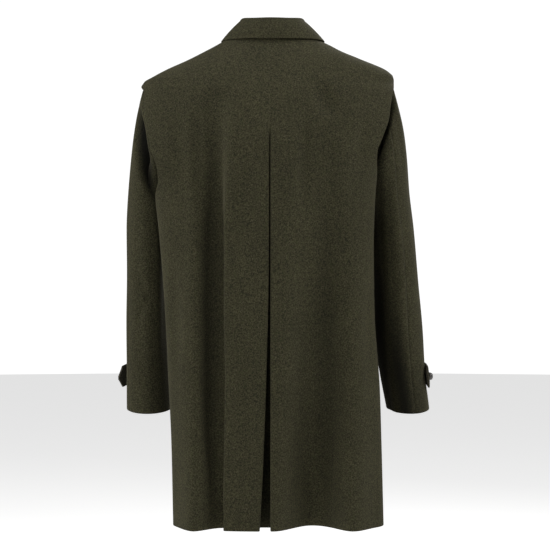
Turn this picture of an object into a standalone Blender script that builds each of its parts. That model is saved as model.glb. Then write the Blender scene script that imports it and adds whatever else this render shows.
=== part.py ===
"""A man's wool overcoat, filled out as if worn, with an inverted pleat down the back.

Metres, +Z up. The back faces -Y, the wearer faces +Y, and -X is the wearer's left.
The origin is the middle of the neck opening. Every cloth piece is a thin open wall.
"""

import math
from collections import namedtuple

import bmesh
import bpy
import numpy as np
from mathutils import Vector

LEFT = -1
RIGHT = 1
SIDE_NAMES = {LEFT: "left", RIGHT: "right"}

# Cloth and seams
CLOTH = 0.0024
TAB_CLOTH = 0.0040
SEAM_GAP = 0.0003
LAP_GAP = 0.0006
FRONT_LAP_GAP = 0.0012

# Main levels
HEM_Z = -0.965
NECK_SIDE_Z = -0.004
NECK_BACK_Z = 0.004
NECK_FRONT_Z = -0.062
SHOULDER_TIP_Z = {LEFT: -0.091, RIGHT: -0.082}

# Body outline
BODY_ROUNDNESS = 2.2
FOLD_FADE_START = 0.05
FOLD_FADE_END = 0.45
NECK_FRONT_CURVE = 0.75
SIDE_SEAM_DEG = 89.9
FRONT_LAP = 0.035
LAP_BLEND_START = 0.110
LAP_BLEND_END = 0.066
LEVEL_COLUMNS_Z = -0.12
ARC_COLUMNS_Z = -0.33

# Centre back pleat
PLEAT_FOLD_RADIUS = 0.0027
PLEAT_TOP_Z = -0.165
UNDERLAY_OVERLAP = 0.010
UNDERLAY_DROP = 0.030

# Collar
COLLAR_FOLD_RADIUS = 0.0032
COLLAR_FOLD_HALF_WIDTH = {LEFT: 0.0565, RIGHT: 0.0615}
COLLAR_FOLD_BACK_Y = -0.0630
COLLAR_FOLD_FRONT_Y = 0.0760
COLLAR_FOLD_Z = 0.0256
COLLAR_SIDE_RISE = 0.0107
COLLAR_FOLD_FRONT_DROP = 0.0551
COLLAR_END_DEG = 172.0
COLLAR_EDGE_HALF_WIDTH = {LEFT: 0.0965, RIGHT: 0.1060}
COLLAR_EDGE_BACK_Z = -0.0113
COLLAR_POINT_X = 0.050
COLLAR_POINT_Z = -0.112
COLLAR_BACK_STANDOFF = 0.0120
COLLAR_SIDE_STANDOFF = 0.0042
COLLAR_FRONT_STANDOFF = 0.0102
COLLAR_SEAM_LIFT = 0.0028
COLLAR_FRONT_LIFT = 0.0022
COLLAR_BULGE = 0.0015
COLLAR_DROP_CURVE = 3.0
COLLAR_RISE_CURVE = 4.0
COLLAR_EDGE_CURVE = 2.0
COLLAR_POINT_X_CURVE = 1.5
COLLAR_POINT_Z_CURVE = 1.15
COLLAR_LIFT_START = 0.2
COLLAR_LIFT_END = 0.7
COLLAR_STANDOFF_END = 0.4
COLLAR_SLOPE_END = 0.6
COLLAR_FACE_LESS = 0.45
COLLAR_UP_LEAST = 0.35
COLLAR_UP_MORE = 0.60

# Sleeves
SLEEVE_ROUNDNESS = 2.1
BACK_SEAM_DEG = -75.0
FRONT_SEAM_DEG = 105.0
SLEEVE_TWIST_DEG = {LEFT: 42.0, RIGHT: 0.0}

# Cuff straps
TAB_MIDDLE_Z = -0.676
TAB_HALF_HEIGHT = 0.0225
TAB_FREE_LENGTH = 0.040
TAB_POINT_LENGTH = 0.013
TAB_TIP_HALF_HEIGHT = 0.0020
TAB_BUTTON_PAST_BEND = 0.014
TAB_SEAM_CLEARANCE = 0.03
TAB_SAG = 0.10

# Buttons
FRONT_BUTTON_RADIUS = 0.0115
CUFF_BUTTON_RADIUS = 0.0081
BUTTON_SEGMENTS = 20
FRONT_BUTTON_FIRST_Z = -0.135
FRONT_BUTTON_STEP = 0.118
FRONT_BUTTON_COUNT = 5
FRONT_SLOPE_STEP = 0.010

# Grid counts
BACK_COLUMNS = 20
FRONT_COLUMNS = 14
PANEL_ROWS = 22
ROW_BUNCHING = 0.72
FOLD_ARC_POINTS = 4
RETURN_POINTS = 2
UNDERLAY_COLUMNS = 8
UNDERLAY_ROWS = 14
SLEEVE_RINGS = 19
TOP_SLEEVE_COLUMNS = 11
UNDER_SLEEVE_COLUMNS = 11
COLLAR_COLUMNS = 29
COLLAR_STAND_SHARES = (0.0, 0.5, 1.0)
COLLAR_ROLL_DEG = (135.0, 90.0, 45.0)
COLLAR_FALL_SHARES = (0.0, 0.35, 0.7, 1.0)
SHOULDER_SAMPLES = 60
TAB_COLUMNS = 10
TAB_ROWS = 5

Section = namedtuple("Section", "z half_left half_right y_back y_side y_front")
BODY = [
    Section(0.010, 0.060, 0.062, -0.058, 0.000, 0.026),
    Section(-0.004, 0.084, 0.088, -0.064, 0.000, 0.040),
    Section(-0.014, 0.100, 0.111, -0.070, 0.000, 0.050),
    Section(-0.032, 0.135, 0.145, -0.080, 0.000, 0.066),
    Section(-0.044, 0.160, 0.176, -0.087, 0.000, 0.076),
    Section(-0.068, 0.212, 0.233, -0.099, 0.000, 0.089),
    Section(-0.082, 0.238, 0.2455, -0.105, 0.000, 0.095),
    Section(-0.091, 0.2525, 0.2456, -0.109, 0.000, 0.098),
    Section(-0.115, 0.2630, 0.2525, -0.118, -0.006, 0.104),
    Section(-0.165, 0.2714, 0.2519, -0.130, -0.018, 0.114),
    Section(-0.195, 0.2716, 0.2446, -0.135, -0.025, 0.119),
    Section(-0.223, 0.2693, 0.2338, -0.138, -0.032, 0.122),
    Section(-0.253, 0.2611, 0.2174, -0.140, -0.038, 0.125),
    Section(-0.294, 0.2348, 0.2080, -0.142, -0.043, 0.127),
    Section(-0.324, 0.2267, 0.2076, -0.142, -0.046, 0.127),
    Section(-0.416, 0.2160, 0.2076, -0.141, -0.050, 0.125),
    Section(-0.542, 0.2066, 0.2092, -0.141, -0.050, 0.128),
    Section(-0.698, 0.1987, 0.2158, -0.143, -0.051, 0.137),
    Section(-0.806, 0.1936, 0.2174, -0.144, -0.053, 0.144),
    Section(-0.965, 0.1900, 0.2214, -0.1445, -0.055, 0.150),
]

# How far round from the centre line each panel reaches, in degrees; 90 is the side seam
Armhole = namedtuple("Armhole", "z back_left back_right front_left front_right")
ARMHOLE = [
    Armhole(-0.082, 90.0, 90.0, 90.0, 90.0),
    Armhole(-0.091, 90.0, 86.0, 88.0, 84.0),
    Armhole(-0.115, 66.0, 72.0, 66.0, 68.0),
    Armhole(-0.165, 61.0, 66.0, 55.0, 60.0),
    Armhole(-0.195, 59.5, 64.0, 51.0, 57.0),
    Armhole(-0.223, 58.5, 63.0, 50.0, 57.0),
    Armhole(-0.253, 59.5, 72.0, 51.0, 59.0),
    Armhole(-0.294, 69.0, 86.0, 56.0, 64.0),
    Armhole(-0.324, 82.0, 90.0, 64.0, 72.0),
    Armhole(-0.365, 90.0, 90.0, 90.0, 90.0),
]

# Large folds; a negative depth stands out from the panel
Fold = namedtuple("Fold", "face x_top x_hem left_flank right_flank depth top_z growth")
FOLDS = [
    Fold("back", -0.1040, -0.1010, 0.050, 0.013, 0.032, -0.110, 0.60),
    Fold("back", -0.1550, -0.1500, 0.040, 0.036, -0.027, -0.320, 1.20),
    Fold("back", 0.1000, 0.0800, 0.074, 0.080, 0.074, -0.110, 1.35),
    Fold("back", 0.1680, 0.1640, 0.046, 0.044, -0.022, -0.320, 1.20),
    Fold("front", -0.1020, -0.1160, 0.048, 0.052, 0.036, -0.400, 1.20),
    Fold("front", 0.1080, 0.1220, 0.056, 0.050, 0.042, -0.380, 1.25),
]

# Pleat mouth, and how wide and deep the cloth turned under it lies
Pleat = namedtuple("Pleat", "z mouth return_width return_depth")
PLEAT = [
    Pleat(0.010, 0.0000, 0.008, 0.0006),
    Pleat(-0.120, 0.0000, 0.012, 0.0008),
    Pleat(-0.165, 0.0002, 0.030, 0.0010),
    Pleat(-0.200, 0.0012, 0.034, 0.0012),
    Pleat(-0.450, 0.0024, 0.034, 0.0050),
    Pleat(-0.690, 0.0080, 0.034, 0.0190),
    Pleat(-0.860, 0.0145, 0.035, 0.0330),
    Pleat(-0.965, 0.0200, 0.036, 0.0420),
]

# Sleeve rings: outermost and innermost point, middle depth, half depth, how far the front
# stands above the back, and the share by which the outer end is narrowed under the shoulder
Ring = namedtuple("Ring", "station outer_x outer_z inner_x inner_z y_mid half_depth front_lift cap")
SLEEVES = {
    LEFT: [
        Ring(0, -0.2370, -0.0856, -0.2070, -0.215, -0.002, 0.054, 0.000, 0.45),
        Ring(1, -0.2548, -0.1040, -0.2110, -0.243, 0.000, 0.058, 0.000, 0.40),
        Ring(2, -0.2640, -0.1380, -0.2130, -0.262, 0.005, 0.064, 0.000, 0.25),
        Ring(3, -0.2727, -0.1860, -0.2145, -0.280, 0.014, 0.069, 0.000, 0.10),
        Ring(4, -0.2815, -0.2500, -0.2165, -0.305, 0.031, 0.070, 0.000, 0.00),
        Ring(5, -0.2870, -0.3150, -0.2165, -0.337, 0.046, 0.068, 0.000, 0.00),
        Ring(6, -0.2905, -0.3850, -0.2155, -0.395, 0.050, 0.066, 0.000, 0.00),
        Ring(7, -0.2910, -0.4550, -0.2145, -0.460, 0.050, 0.063, 0.000, 0.00),
        Ring(8, -0.2910, -0.5250, -0.2130, -0.528, 0.050, 0.060, 0.001, 0.00),
        Ring(9, -0.2910, -0.6000, -0.2100, -0.600, 0.051, 0.057, 0.003, 0.00),
        Ring(10, -0.2908, -0.6750, -0.2060, -0.674, 0.053, 0.056, 0.006, 0.00),
        Ring(11, -0.2900, -0.7440, -0.2030, -0.744, 0.055, 0.056, 0.008, 0.00),
    ],
    RIGHT: [
        Ring(0, 0.2325, -0.0776, 0.1960, -0.205, -0.002, 0.054, 0.000, 0.45),
        Ring(1, 0.2446, -0.0980, 0.2000, -0.236, 0.000, 0.058, 0.000, 0.40),
        Ring(2, 0.2550, -0.1380, 0.2020, -0.258, 0.005, 0.063, 0.000, 0.25),
        Ring(3, 0.2655, -0.1860, 0.2030, -0.278, 0.014, 0.068, 0.000, 0.10),
        Ring(4, 0.2738, -0.2450, 0.2040, -0.303, 0.031, 0.070, 0.000, 0.00),
        Ring(5, 0.2802, -0.3150, 0.2060, -0.337, 0.046, 0.068, 0.000, 0.00),
        Ring(6, 0.2893, -0.3850, 0.2110, -0.395, 0.050, 0.066, 0.000, 0.00),
        Ring(7, 0.2965, -0.4550, 0.2160, -0.460, 0.050, 0.063, 0.000, 0.00),
        Ring(8, 0.3022, -0.5250, 0.2190, -0.528, 0.050, 0.060, 0.001, 0.00),
        Ring(9, 0.3082, -0.6000, 0.2225, -0.600, 0.051, 0.057, 0.003, 0.00),
        Ring(10, 0.3128, -0.6750, 0.2302, -0.674, 0.053, 0.056, 0.006, 0.00),
        Ring(11, 0.3203, -0.7440, 0.2392, -0.744, 0.055, 0.056, 0.008, 0.00),
    ],
}

# Turned outline of a button, as shares of its radius: out from the axis, up from the seat
ButtonPoint = namedtuple("ButtonPoint", "out up")
BUTTON_PROFILE = [
    ButtonPoint(0.36, 0.00),
    ButtonPoint(0.36, 0.20),
    ButtonPoint(0.84, 0.26),
    ButtonPoint(1.00, 0.48),
    ButtonPoint(0.94, 0.76),
    ButtonPoint(0.72, 0.99),
    ButtonPoint(0.38, 1.11),
]
BUTTON_CROWN = 1.15

MATERIALS = {
    "loden": ((0.042, 0.039, 0.024, 1.0), 0.95),
    "button": ((0.030, 0.019, 0.012, 1.0), 0.45),
}


def smooth_column(rows, name, along="z"):
    """A smooth curve, with no overshoot, through one named column of a table."""
    rows = sorted(rows, key=lambda row: getattr(row, along))
    place = np.array([getattr(row, along) for row in rows], float)
    value = np.array([getattr(row, name) for row in rows], float)
    step = np.diff(place)
    slope = np.diff(value) / step
    same_way = slope[:-1] * slope[1:] > 0.0
    total = np.where(same_way, slope[:-1] + slope[1:], 1.0)
    middle = np.where(same_way, 2.0 * slope[:-1] * slope[1:] / total, 0.0)
    lean = np.concatenate([slope[:1], middle, slope[-1:]])

    def read(at):
        at = np.clip(np.asarray(at, float), place[0], place[-1])
        i = np.clip(np.searchsorted(place, at) - 1, 0, len(step) - 1)
        t = (at - place[i]) / step[i]
        back = 1.0 - t
        start = value[i] * (1.0 + 2.0 * t) * back**2 + lean[i] * step[i] * t * back**2
        end = value[i + 1] * t**2 * (3.0 - 2.0 * t) - lean[i + 1] * step[i] * t**2 * back
        return start + end

    return read


HALF_WIDTH = {LEFT: smooth_column(BODY, "half_left"), RIGHT: smooth_column(BODY, "half_right")}
Y_SIDE = smooth_column(BODY, "y_side")
Y_FACE = {"back": smooth_column(BODY, "y_back"), "front": smooth_column(BODY, "y_front")}
REACH = {
    ("back", LEFT): smooth_column(ARMHOLE, "back_left"),
    ("back", RIGHT): smooth_column(ARMHOLE, "back_right"),
    ("front", LEFT): smooth_column(ARMHOLE, "front_left"),
    ("front", RIGHT): smooth_column(ARMHOLE, "front_right"),
}
PLEAT_MOUTH = smooth_column(PLEAT, "mouth")
RETURN_WIDTH = smooth_column(PLEAT, "return_width")
RETURN_DEPTH = smooth_column(PLEAT, "return_depth")


def ease(value, start, end):
    """0 before start, 1 after end, smooth between them."""
    t = np.clip((value - start) / (end - start), 0.0, 1.0)
    return t * t * (3.0 - 2.0 * t)


def half_width_at(x, z):
    return np.where(np.asarray(x) < 0.0, HALF_WIDTH[LEFT](z), HALF_WIDTH[RIGHT](z))


def turn_at(x, z):
    """How far round the body a point at x lies: 0 on the centre line, 90 degrees at the side."""
    share = np.clip(np.abs(x) / half_width_at(x, z), 0.0, 1.0)
    return np.sign(x) * np.arcsin(share ** (BODY_ROUNDNESS / 2.0))


def fold_depth(x, z, face):
    """How far the large folds push the panel inwards."""
    depth = np.zeros(np.broadcast(x, z).shape)
    for fold in FOLDS:
        if fold.face != face:
            continue
        down = np.clip((fold.top_z - z) / (fold.top_z - HEM_Z), 0.0, 1.0)
        centre = fold.x_top + (fold.x_hem - fold.x_top) * down
        flank = np.where(x < centre, fold.left_flank, fold.right_flank)
        reach = np.clip(np.abs(x - centre) / flank, 0.0, 1.0)
        depth = depth + fold.depth * down**fold.growth * np.cos(reach * math.pi / 2.0) ** 2
    return depth


def body_points(turn, z, face):
    """Points of the body cloth, half way through its thickness."""
    turn, z = np.broadcast_arrays(turn, z)
    across = np.abs(np.sin(turn)) ** (2.0 / BODY_ROUNDNESS)
    deep = np.abs(np.cos(turn)) ** (2.0 / BODY_ROUNDNESS)
    x = np.sign(turn) * across * half_width_at(turn, z)
    y = Y_SIDE(z) + (Y_FACE[face](z) - Y_SIDE(z)) * deep
    inwards = 1.0 if face == "back" else -1.0
    y = y + inwards * fold_depth(x, z, face) * ease(deep, FOLD_FADE_START, FOLD_FADE_END)
    return np.stack([x, y, z], axis=-1)


def neck_half_width(side):
    return float(HALF_WIDTH[side](NECK_SIDE_Z))


def neck_z(x, face):
    """Height of the neck seam at x."""
    side = np.where(np.asarray(x) < 0.0, neck_half_width(LEFT), neck_half_width(RIGHT))
    share = np.clip(np.abs(x) / side, 0.0, 1.0)
    if face == "back":
        return NECK_BACK_Z + (NECK_SIDE_Z - NECK_BACK_Z) * share**2
    return NECK_SIDE_Z + (NECK_FRONT_Z - NECK_SIDE_Z) * (1.0 - share**2) ** NECK_FRONT_CURVE


def shoulder_z(x, side):
    """Height of the shoulder seam at x."""
    levels = np.linspace(NECK_SIDE_Z, SHOULDER_TIP_Z[side], SHOULDER_SAMPLES)
    return np.interp(np.abs(x), HALF_WIDTH[side](levels), levels)


def panel_grid(side, face, columns, rows, start_x):
    """Grid of a back or front panel; start_x gives its centre edge at a height."""
    share = np.linspace(0.0, 1.0, columns)
    run = np.linspace(0.0, 1.0, rows)
    down = (1.0 - ROW_BUNCHING) * run + ROW_BUNCHING * run**2
    tip_z = SHOULDER_TIP_Z[side]
    tip_x = side * float(HALF_WIDTH[side](tip_z))
    neck_x = neck_half_width(side)
    first_x = float(start_x(NECK_SIDE_Z))
    top_x = first_x + share * (tip_x - first_x)
    nearest = int(np.argmin(np.abs(top_x - side * neck_x)))
    share = np.interp(
        np.arange(columns),
        [0, nearest, columns - 1],
        [0.0, (side * neck_x - first_x) / (tip_x - first_x), 1.0],
    )
    top_x = first_x + share * (tip_x - first_x)
    at_neck = np.arange(columns) <= nearest
    top_z = np.where(at_neck, neck_z(top_x, face), shoulder_z(top_x, side))
    z = top_z[None, :] + (HEM_Z - top_z[None, :]) * down[:, None]

    reach = np.radians(REACH[face, side](z))
    reach = np.where(z >= tip_z, math.pi / 2.0, reach)
    edge_x = side * HALF_WIDTH[side](z) * np.sin(reach) ** (2.0 / BODY_ROUNDNESS)
    edge_x = np.where(z >= tip_z, tip_x, edge_x)
    centre_x = start_x(z)
    straight_turn = turn_at(centre_x + share * (edge_x - centre_x), z)
    centre_turn = turn_at(centre_x, z)
    arc_turn = centre_turn + share * (side * reach - centre_turn)
    weight = ease(-z, -LEVEL_COLUMNS_Z, -ARC_COLUMNS_Z)
    turn = (1.0 - weight) * straight_turn + weight * arc_turn
    turn[0, ~at_neck] = side * math.pi / 2.0
    turn[0, nearest] = side * math.pi / 2.0
    points = body_points(turn, z, face)

    on_seam = np.zeros(z.shape, bool)
    on_seam[0, nearest:] = True
    on_seam[:, -1] |= reach[:, -1] > math.radians(SIDE_SEAM_DEG)
    apart = -0.5 * SEAM_GAP if face == "back" else 0.5 * SEAM_GAP
    points[on_seam, 1] = Y_SIDE(z[on_seam]) + apart
    return points, on_seam


def unit(vectors):
    return vectors / np.maximum(np.linalg.norm(vectors, axis=-1, keepdims=True), 1e-12)


def grid_normals(points):
    """Normals of a grid from the mean direction of its rows and of its columns."""

    def tangents(axis):
        step = unit(np.diff(points, axis=axis))
        first = np.take(step, [0], axis=axis)
        last = np.take(step, [-1], axis=axis)
        before = np.concatenate([first, step], axis=axis)
        after = np.concatenate([step, last], axis=axis)
        return unit(before + after)

    return unit(np.cross(tangents(1), tangents(0)))


def seam_normals(points, on_seam, outward_y):
    """Outward normals, kept level with the seam plane along the shoulder and side seams."""
    normals = grid_normals(points)
    middle = normals[normals.shape[0] // 2, normals.shape[1] // 2]
    if middle[1] * outward_y < 0.0:
        normals = -normals
    normals[on_seam, 1] = 0.0
    return unit(normals)


def material(name):
    found = bpy.data.materials.get(name)
    if found:
        return found
    colour, roughness = MATERIALS[name]
    made = bpy.data.materials.new(name)
    made.use_nodes = True
    shader = made.node_tree.nodes["Principled BSDF"]
    shader.inputs["Base Color"].default_value = colour
    shader.inputs["Roughness"].default_value = roughness
    return made


def add_object(name, shape, material_name, smooth=True):
    """Turn a bmesh into a named object under the coat's empty."""
    bmesh.ops.recalc_face_normals(shape, faces=shape.faces)
    mesh = bpy.data.meshes.new(name)
    shape.to_mesh(mesh)
    shape.free()
    mesh.materials.append(material(material_name))
    for face in mesh.polygons:
        face.use_smooth = smooth
    made = bpy.data.objects.new(name, mesh)
    bpy.context.collection.objects.link(made)
    made.parent = bpy.data.objects["coat"]
    return made


def add_wall(name, middle, normals, thickness=CLOTH, material_name="loden"):
    """A closed wall of even thickness on both sides of a grid of points."""
    rows, columns = middle.shape[:2]
    shape = bmesh.new()
    skins = []
    for way in (0.5, -0.5):
        skin = middle + normals * (way * thickness)
        skins.append([[shape.verts.new(point) for point in row] for row in skin])
    outer, inner = skins
    for i in range(rows - 1):
        for j in range(columns - 1):
            for skin in skins:
                shape.faces.new((skin[i][j], skin[i][j + 1], skin[i + 1][j + 1], skin[i + 1][j]))
    rim = [(0, j) for j in range(columns)]
    rim += [(i, columns - 1) for i in range(1, rows)]
    rim += [(rows - 1, j) for j in range(columns - 2, -1, -1)]
    rim += [(i, 0) for i in range(rows - 2, 0, -1)]
    for here, there in zip(rim, rim[1:] + rim[:1]):
        (a, b), (c, d) = here, there
        shape.faces.new((outer[a][b], outer[c][d], inner[c][d], inner[a][b]))
    return add_object(name, shape, material_name)


def pleat_edge(side):
    """Centre edge of a back half: the middle of the cloth where its pleat fold starts."""

    def edge(z):
        z = np.asarray(z, float)
        mouth = PLEAT_MOUTH(z) if side == LEFT else 0.0 * z
        return side * (mouth + 0.5 * (SEAM_GAP + CLOTH) + PLEAT_FOLD_RADIUS)

    return edge


def return_points(side, first):
    """The pleat fold and the cloth turned under it, from its far end to the panel's first column."""
    arc = np.linspace(math.pi, 0.0, FOLD_ARC_POINTS + 1)[:-1]
    level = first[:, 2]
    out = np.array([side, 0.0, 0.0])
    inwards = np.array([0.0, 1.0, 0.0])
    under = first + 2.0 * PLEAT_FOLD_RADIUS * inwards
    columns = []
    for share in np.linspace(1.0, 0.0, RETURN_POINTS + 1)[:-1]:
        aside = RETURN_WIDTH(level)[:, None] * share * out
        deeper = RETURN_DEPTH(level)[:, None] * share * inwards
        columns.append(under + aside + deeper)
    for angle in arc:
        round_fold = -PLEAT_FOLD_RADIUS * math.sin(angle) * out
        columns.append(first + round_fold + PLEAT_FOLD_RADIUS * (1.0 - math.cos(angle)) * inwards)
    return np.stack(columns, axis=1)


def build_backs():
    ends = {}
    for side in (LEFT, RIGHT):
        panel, on_seam = panel_grid(side, "back", BACK_COLUMNS, PANEL_ROWS, pleat_edge(side))
        turned = return_points(side, panel[:, 0])
        whole = np.concatenate([turned, panel], axis=1)
        whole_seam = np.concatenate([np.zeros(turned.shape[:2], bool), on_seam], axis=1)
        add_wall(f"back_{SIDE_NAMES[side]}", whole, seam_normals(whole, whole_seam, -1.0))
        ends[side] = (turned[:, 0], turned[:, RETURN_POINTS])
    return ends


def build_underlay(ends):
    """The strip behind the pleat, lapped behind the turned-under ends of both back halves."""
    levels = np.linspace(PLEAT_TOP_Z - UNDERLAY_DROP, HEM_Z, UNDERLAY_ROWS)
    behind = np.array([0.0, CLOTH + LAP_GAP, 0.0])
    rails = []
    for side in (LEFT, RIGHT):
        far, near = ends[side]
        order = np.argsort(far[:, 2])
        at = [np.interp(levels, far[order, 2], far[order, axis]) for axis in range(3)]
        to = [np.interp(levels, near[order, 2], near[order, axis]) for axis in range(3)]
        outer = np.stack(at, axis=-1)
        towards = unit(np.stack(to, axis=-1) - outer)
        rails.append([outer + behind, outer + behind + UNDERLAY_OVERLAP * towards * [1, 0, 0]])
    left, right = rails
    columns = [left[0]]
    for share in np.linspace(0.0, 1.0, UNDERLAY_COLUMNS - 2):
        columns.append(left[1] + (right[1] - left[1]) * share)
    columns.append(right[0])
    strip = np.stack(columns, axis=1)
    add_wall("pleat_underlay", strip, seam_normals(strip, np.zeros(strip.shape[:2], bool), -1.0))


def front_edge(side):
    def edge(z):
        return 0.0 * np.asarray(z, float) - side * FRONT_LAP

    return edge


def build_fronts():
    """Two fronts; the left one is moved out where it laps over the right one."""
    grids = {}
    for side in (LEFT, RIGHT):
        panel, on_seam = panel_grid(side, "front", FRONT_COLUMNS, PANEL_ROWS, front_edge(side))
        normals = seam_normals(panel, on_seam, 1.0)
        if side == LEFT:
            over = ease(panel[..., 0], -LAP_BLEND_START, -LAP_BLEND_END)[..., None]
            panel = panel + normals * over * (CLOTH + FRONT_LAP_GAP)
            normals = seam_normals(panel, on_seam, 1.0)
        add_wall(f"front_{SIDE_NAMES[side]}", panel, normals)
        grids[side] = (panel, normals)
    return grids


def collar_grid():
    """Rows run from the neck seam up the stand, over the fold and down the fall."""
    around = np.radians(np.linspace(-COLLAR_END_DEG, COLLAR_END_DEG, COLLAR_COLUMNS))
    sections = []
    for turn in around:
        side = LEFT if turn < 0.0 else RIGHT
        face = "back" if abs(turn) <= math.pi / 2.0 else "front"
        across = math.sin(turn)
        ahead = -math.cos(turn)
        x = neck_half_width(side) * across
        z = float(neck_z(x, face))
        seam = body_points(turn_at(x, z), np.array(z), face)
        past_side = (abs(turn) - math.pi / 2.0) / math.radians(COLLAR_END_DEG - 90.0)
        past_side = float(np.clip(past_side, 0.0, 1.0))
        lift = COLLAR_SEAM_LIFT + COLLAR_FRONT_LIFT * ease(past_side, COLLAR_LIFT_START, COLLAR_LIFT_END)
        seam = seam + np.array([0.0, 0.0, lift])

        depth = COLLAR_FOLD_FRONT_Y if ahead > 0.0 else -COLLAR_FOLD_BACK_Y
        drop = COLLAR_FOLD_FRONT_DROP * (0.5 * (1.0 + ahead)) ** COLLAR_DROP_CURVE
        fold_z = COLLAR_FOLD_Z + COLLAR_SIDE_RISE * abs(across) ** COLLAR_RISE_CURVE - drop
        fold = np.array([COLLAR_FOLD_HALF_WIDTH[side] * across, depth * ahead, fold_z])
        outward = np.array([across, ahead, 0.0])
        up = np.array([0.0, 0.0, 1.0])

        edge_x = COLLAR_EDGE_HALF_WIDTH[side] * across
        rise = float(shoulder_z(edge_x, side)) - COLLAR_EDGE_BACK_Z
        edge_z = COLLAR_EDGE_BACK_Z + rise * abs(across) ** COLLAR_EDGE_CURVE
        if face == "front":
            span = COLLAR_EDGE_HALF_WIDTH[side] - COLLAR_POINT_X
            edge_x = side * (COLLAR_EDGE_HALF_WIDTH[side] - span * past_side**COLLAR_POINT_X_CURVE)
            side_z = float(shoulder_z(COLLAR_EDGE_HALF_WIDTH[side], side))
            edge_z = side_z + (COLLAR_POINT_Z - side_z) * past_side**COLLAR_POINT_Z_CURVE
        base = body_points(turn_at(edge_x, edge_z), np.array(edge_z), face)
        front_extra = COLLAR_FRONT_STANDOFF - COLLAR_SIDE_STANDOFF
        standoff = COLLAR_SIDE_STANDOFF + front_extra * ease(past_side, 0.0, COLLAR_STANDOFF_END)
        if face == "back":
            standoff += (COLLAR_BACK_STANDOFF - COLLAR_SIDE_STANDOFF) * math.cos(turn) ** 2
        slope = across**2 if face == "back" else 1.0 - ease(past_side, 0.0, COLLAR_SLOPE_END)
        facing = outward * (1.0 - COLLAR_FACE_LESS * slope)
        off = unit(facing + up * (COLLAR_UP_LEAST + COLLAR_UP_MORE * slope))
        edge = base + off * standoff

        radius = COLLAR_FOLD_RADIUS
        path = [seam + (fold - radius * outward - seam) * share for share in COLLAR_STAND_SHARES]
        for angle in np.radians(COLLAR_ROLL_DEG):
            path.append(fold + radius * (math.cos(angle) * outward + math.sin(angle) * up))
        start = fold + radius * outward
        for share in COLLAR_FALL_SHARES:
            swell = COLLAR_BULGE * math.sin(math.pi * share)
            path.append(start + (edge - start) * share + swell * off)
        sections.append(path)
    return np.array(sections)


def build_collar():
    collar = np.transpose(collar_grid(), (1, 0, 2))
    normals = grid_normals(collar)
    if normals[-1, COLLAR_COLUMNS // 2, 1] > 0.0:
        normals = -normals
    add_wall("collar", collar, normals)


def sleeve_points(side, station, angle):
    """Points of a sleeve, half way through its cloth: angle 0 outermost, 90 to the front."""
    read = {name: smooth_column(SLEEVES[side], name, "station")(station) for name in Ring._fields[1:]}
    across = np.sign(np.cos(angle)) * np.abs(np.cos(angle)) ** (2.0 / SLEEVE_ROUNDNESS)
    ahead = np.sign(np.sin(angle)) * np.abs(np.sin(angle)) ** (2.0 / SLEEVE_ROUNDNESS)
    x = 0.5 * (read["outer_x"] + read["inner_x"]) + 0.5 * (read["outer_x"] - read["inner_x"]) * across
    z = 0.5 * (read["outer_z"] + read["inner_z"]) + 0.5 * (read["outer_z"] - read["inner_z"]) * across
    narrow = 1.0 - read["cap"] * 0.5 * (1.0 + np.cos(angle))
    y = read["y_mid"] + read["half_depth"] * ahead * narrow
    z = z + read["front_lift"] * ahead
    return np.stack([x, y, z], axis=-1)


def sleeve_wall(name, side, start_deg, end_deg, columns):
    """One cut piece of a sleeve between two seams, half a seam gap short of each."""
    stations = np.linspace(SLEEVES[side][0].station, SLEEVES[side][-1].station, SLEEVE_RINGS)
    angles = np.radians(np.linspace(start_deg, end_deg, columns))
    step = angles[1] - angles[0]
    angles = np.concatenate([[angles[0] - step], angles, [angles[-1] + step]])
    grid = sleeve_points(side, stations[:, None], angles[None, :])
    normals = grid_normals(grid)[:, 1:-1]
    along = unit(np.roll(grid, -1, axis=1) - grid)[:, 1:-1]
    grid = grid[:, 1:-1].copy()
    centre = sleeve_points(side, stations[:, None], np.array([[0.0, math.pi]])).mean(axis=1, keepdims=True)
    if np.mean(np.sum(normals * (grid - centre), axis=-1)) < 0.0:
        normals = -normals
    grid[:, 0] += 0.5 * SEAM_GAP * along[:, 0]
    grid[:, -1] -= 0.5 * SEAM_GAP * along[:, -2]
    add_wall(name, grid, normals)


def build_sleeves():
    for side in (LEFT, RIGHT):
        twist = SLEEVE_TWIST_DEG[side]
        back = BACK_SEAM_DEG + twist
        front = FRONT_SEAM_DEG + twist
        sleeve_wall(f"sleeve_top_{SIDE_NAMES[side]}", side, back, front, TOP_SLEEVE_COLUMNS)
        sleeve_wall(f"sleeve_under_{SIDE_NAMES[side]}", side, front, back + 360.0, UNDER_SLEEVE_COLUMNS)


def station_at_z(side, z):
    levels = [(row.outer_z, row.station) for row in SLEEVES[side]]
    levels.sort()
    return float(np.interp(z, [level for level, _ in levels], [station for _, station in levels]))


def tab_rows(side):
    """Rows of strap points on the sleeve, top to bottom, with their outward directions."""
    twist = math.radians(SLEEVE_TWIST_DEG[side])
    angles = np.linspace(math.radians(FRONT_SEAM_DEG) + twist - TAB_SEAM_CLEARANCE, twist, TAB_COLUMNS)
    shares = np.linspace(1.0, -1.0, TAB_ROWS)
    stations = [station_at_z(side, TAB_MIDDLE_Z + share * TAB_HALF_HEIGHT) for share in shares]
    rows = sleeve_points(side, np.array(stations)[:, None], angles[None, :])
    middle = rows[TAB_ROWS // 2]
    ahead = unit(np.gradient(middle, axis=0) * [1.0, 1.0, 0.0])
    out = unit(np.cross(ahead, rows[-1] - rows[0]))
    out = out * np.sign(np.sum(out * (middle - middle.mean(axis=0)), axis=-1).mean())
    rows = rows + out * (0.5 * CLOTH + 0.5 * TAB_CLOTH + LAP_GAP)
    onward = unit(ahead[-1] - np.array([0.0, 0.0, TAB_SAG]))
    return rows, onward, out


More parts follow.
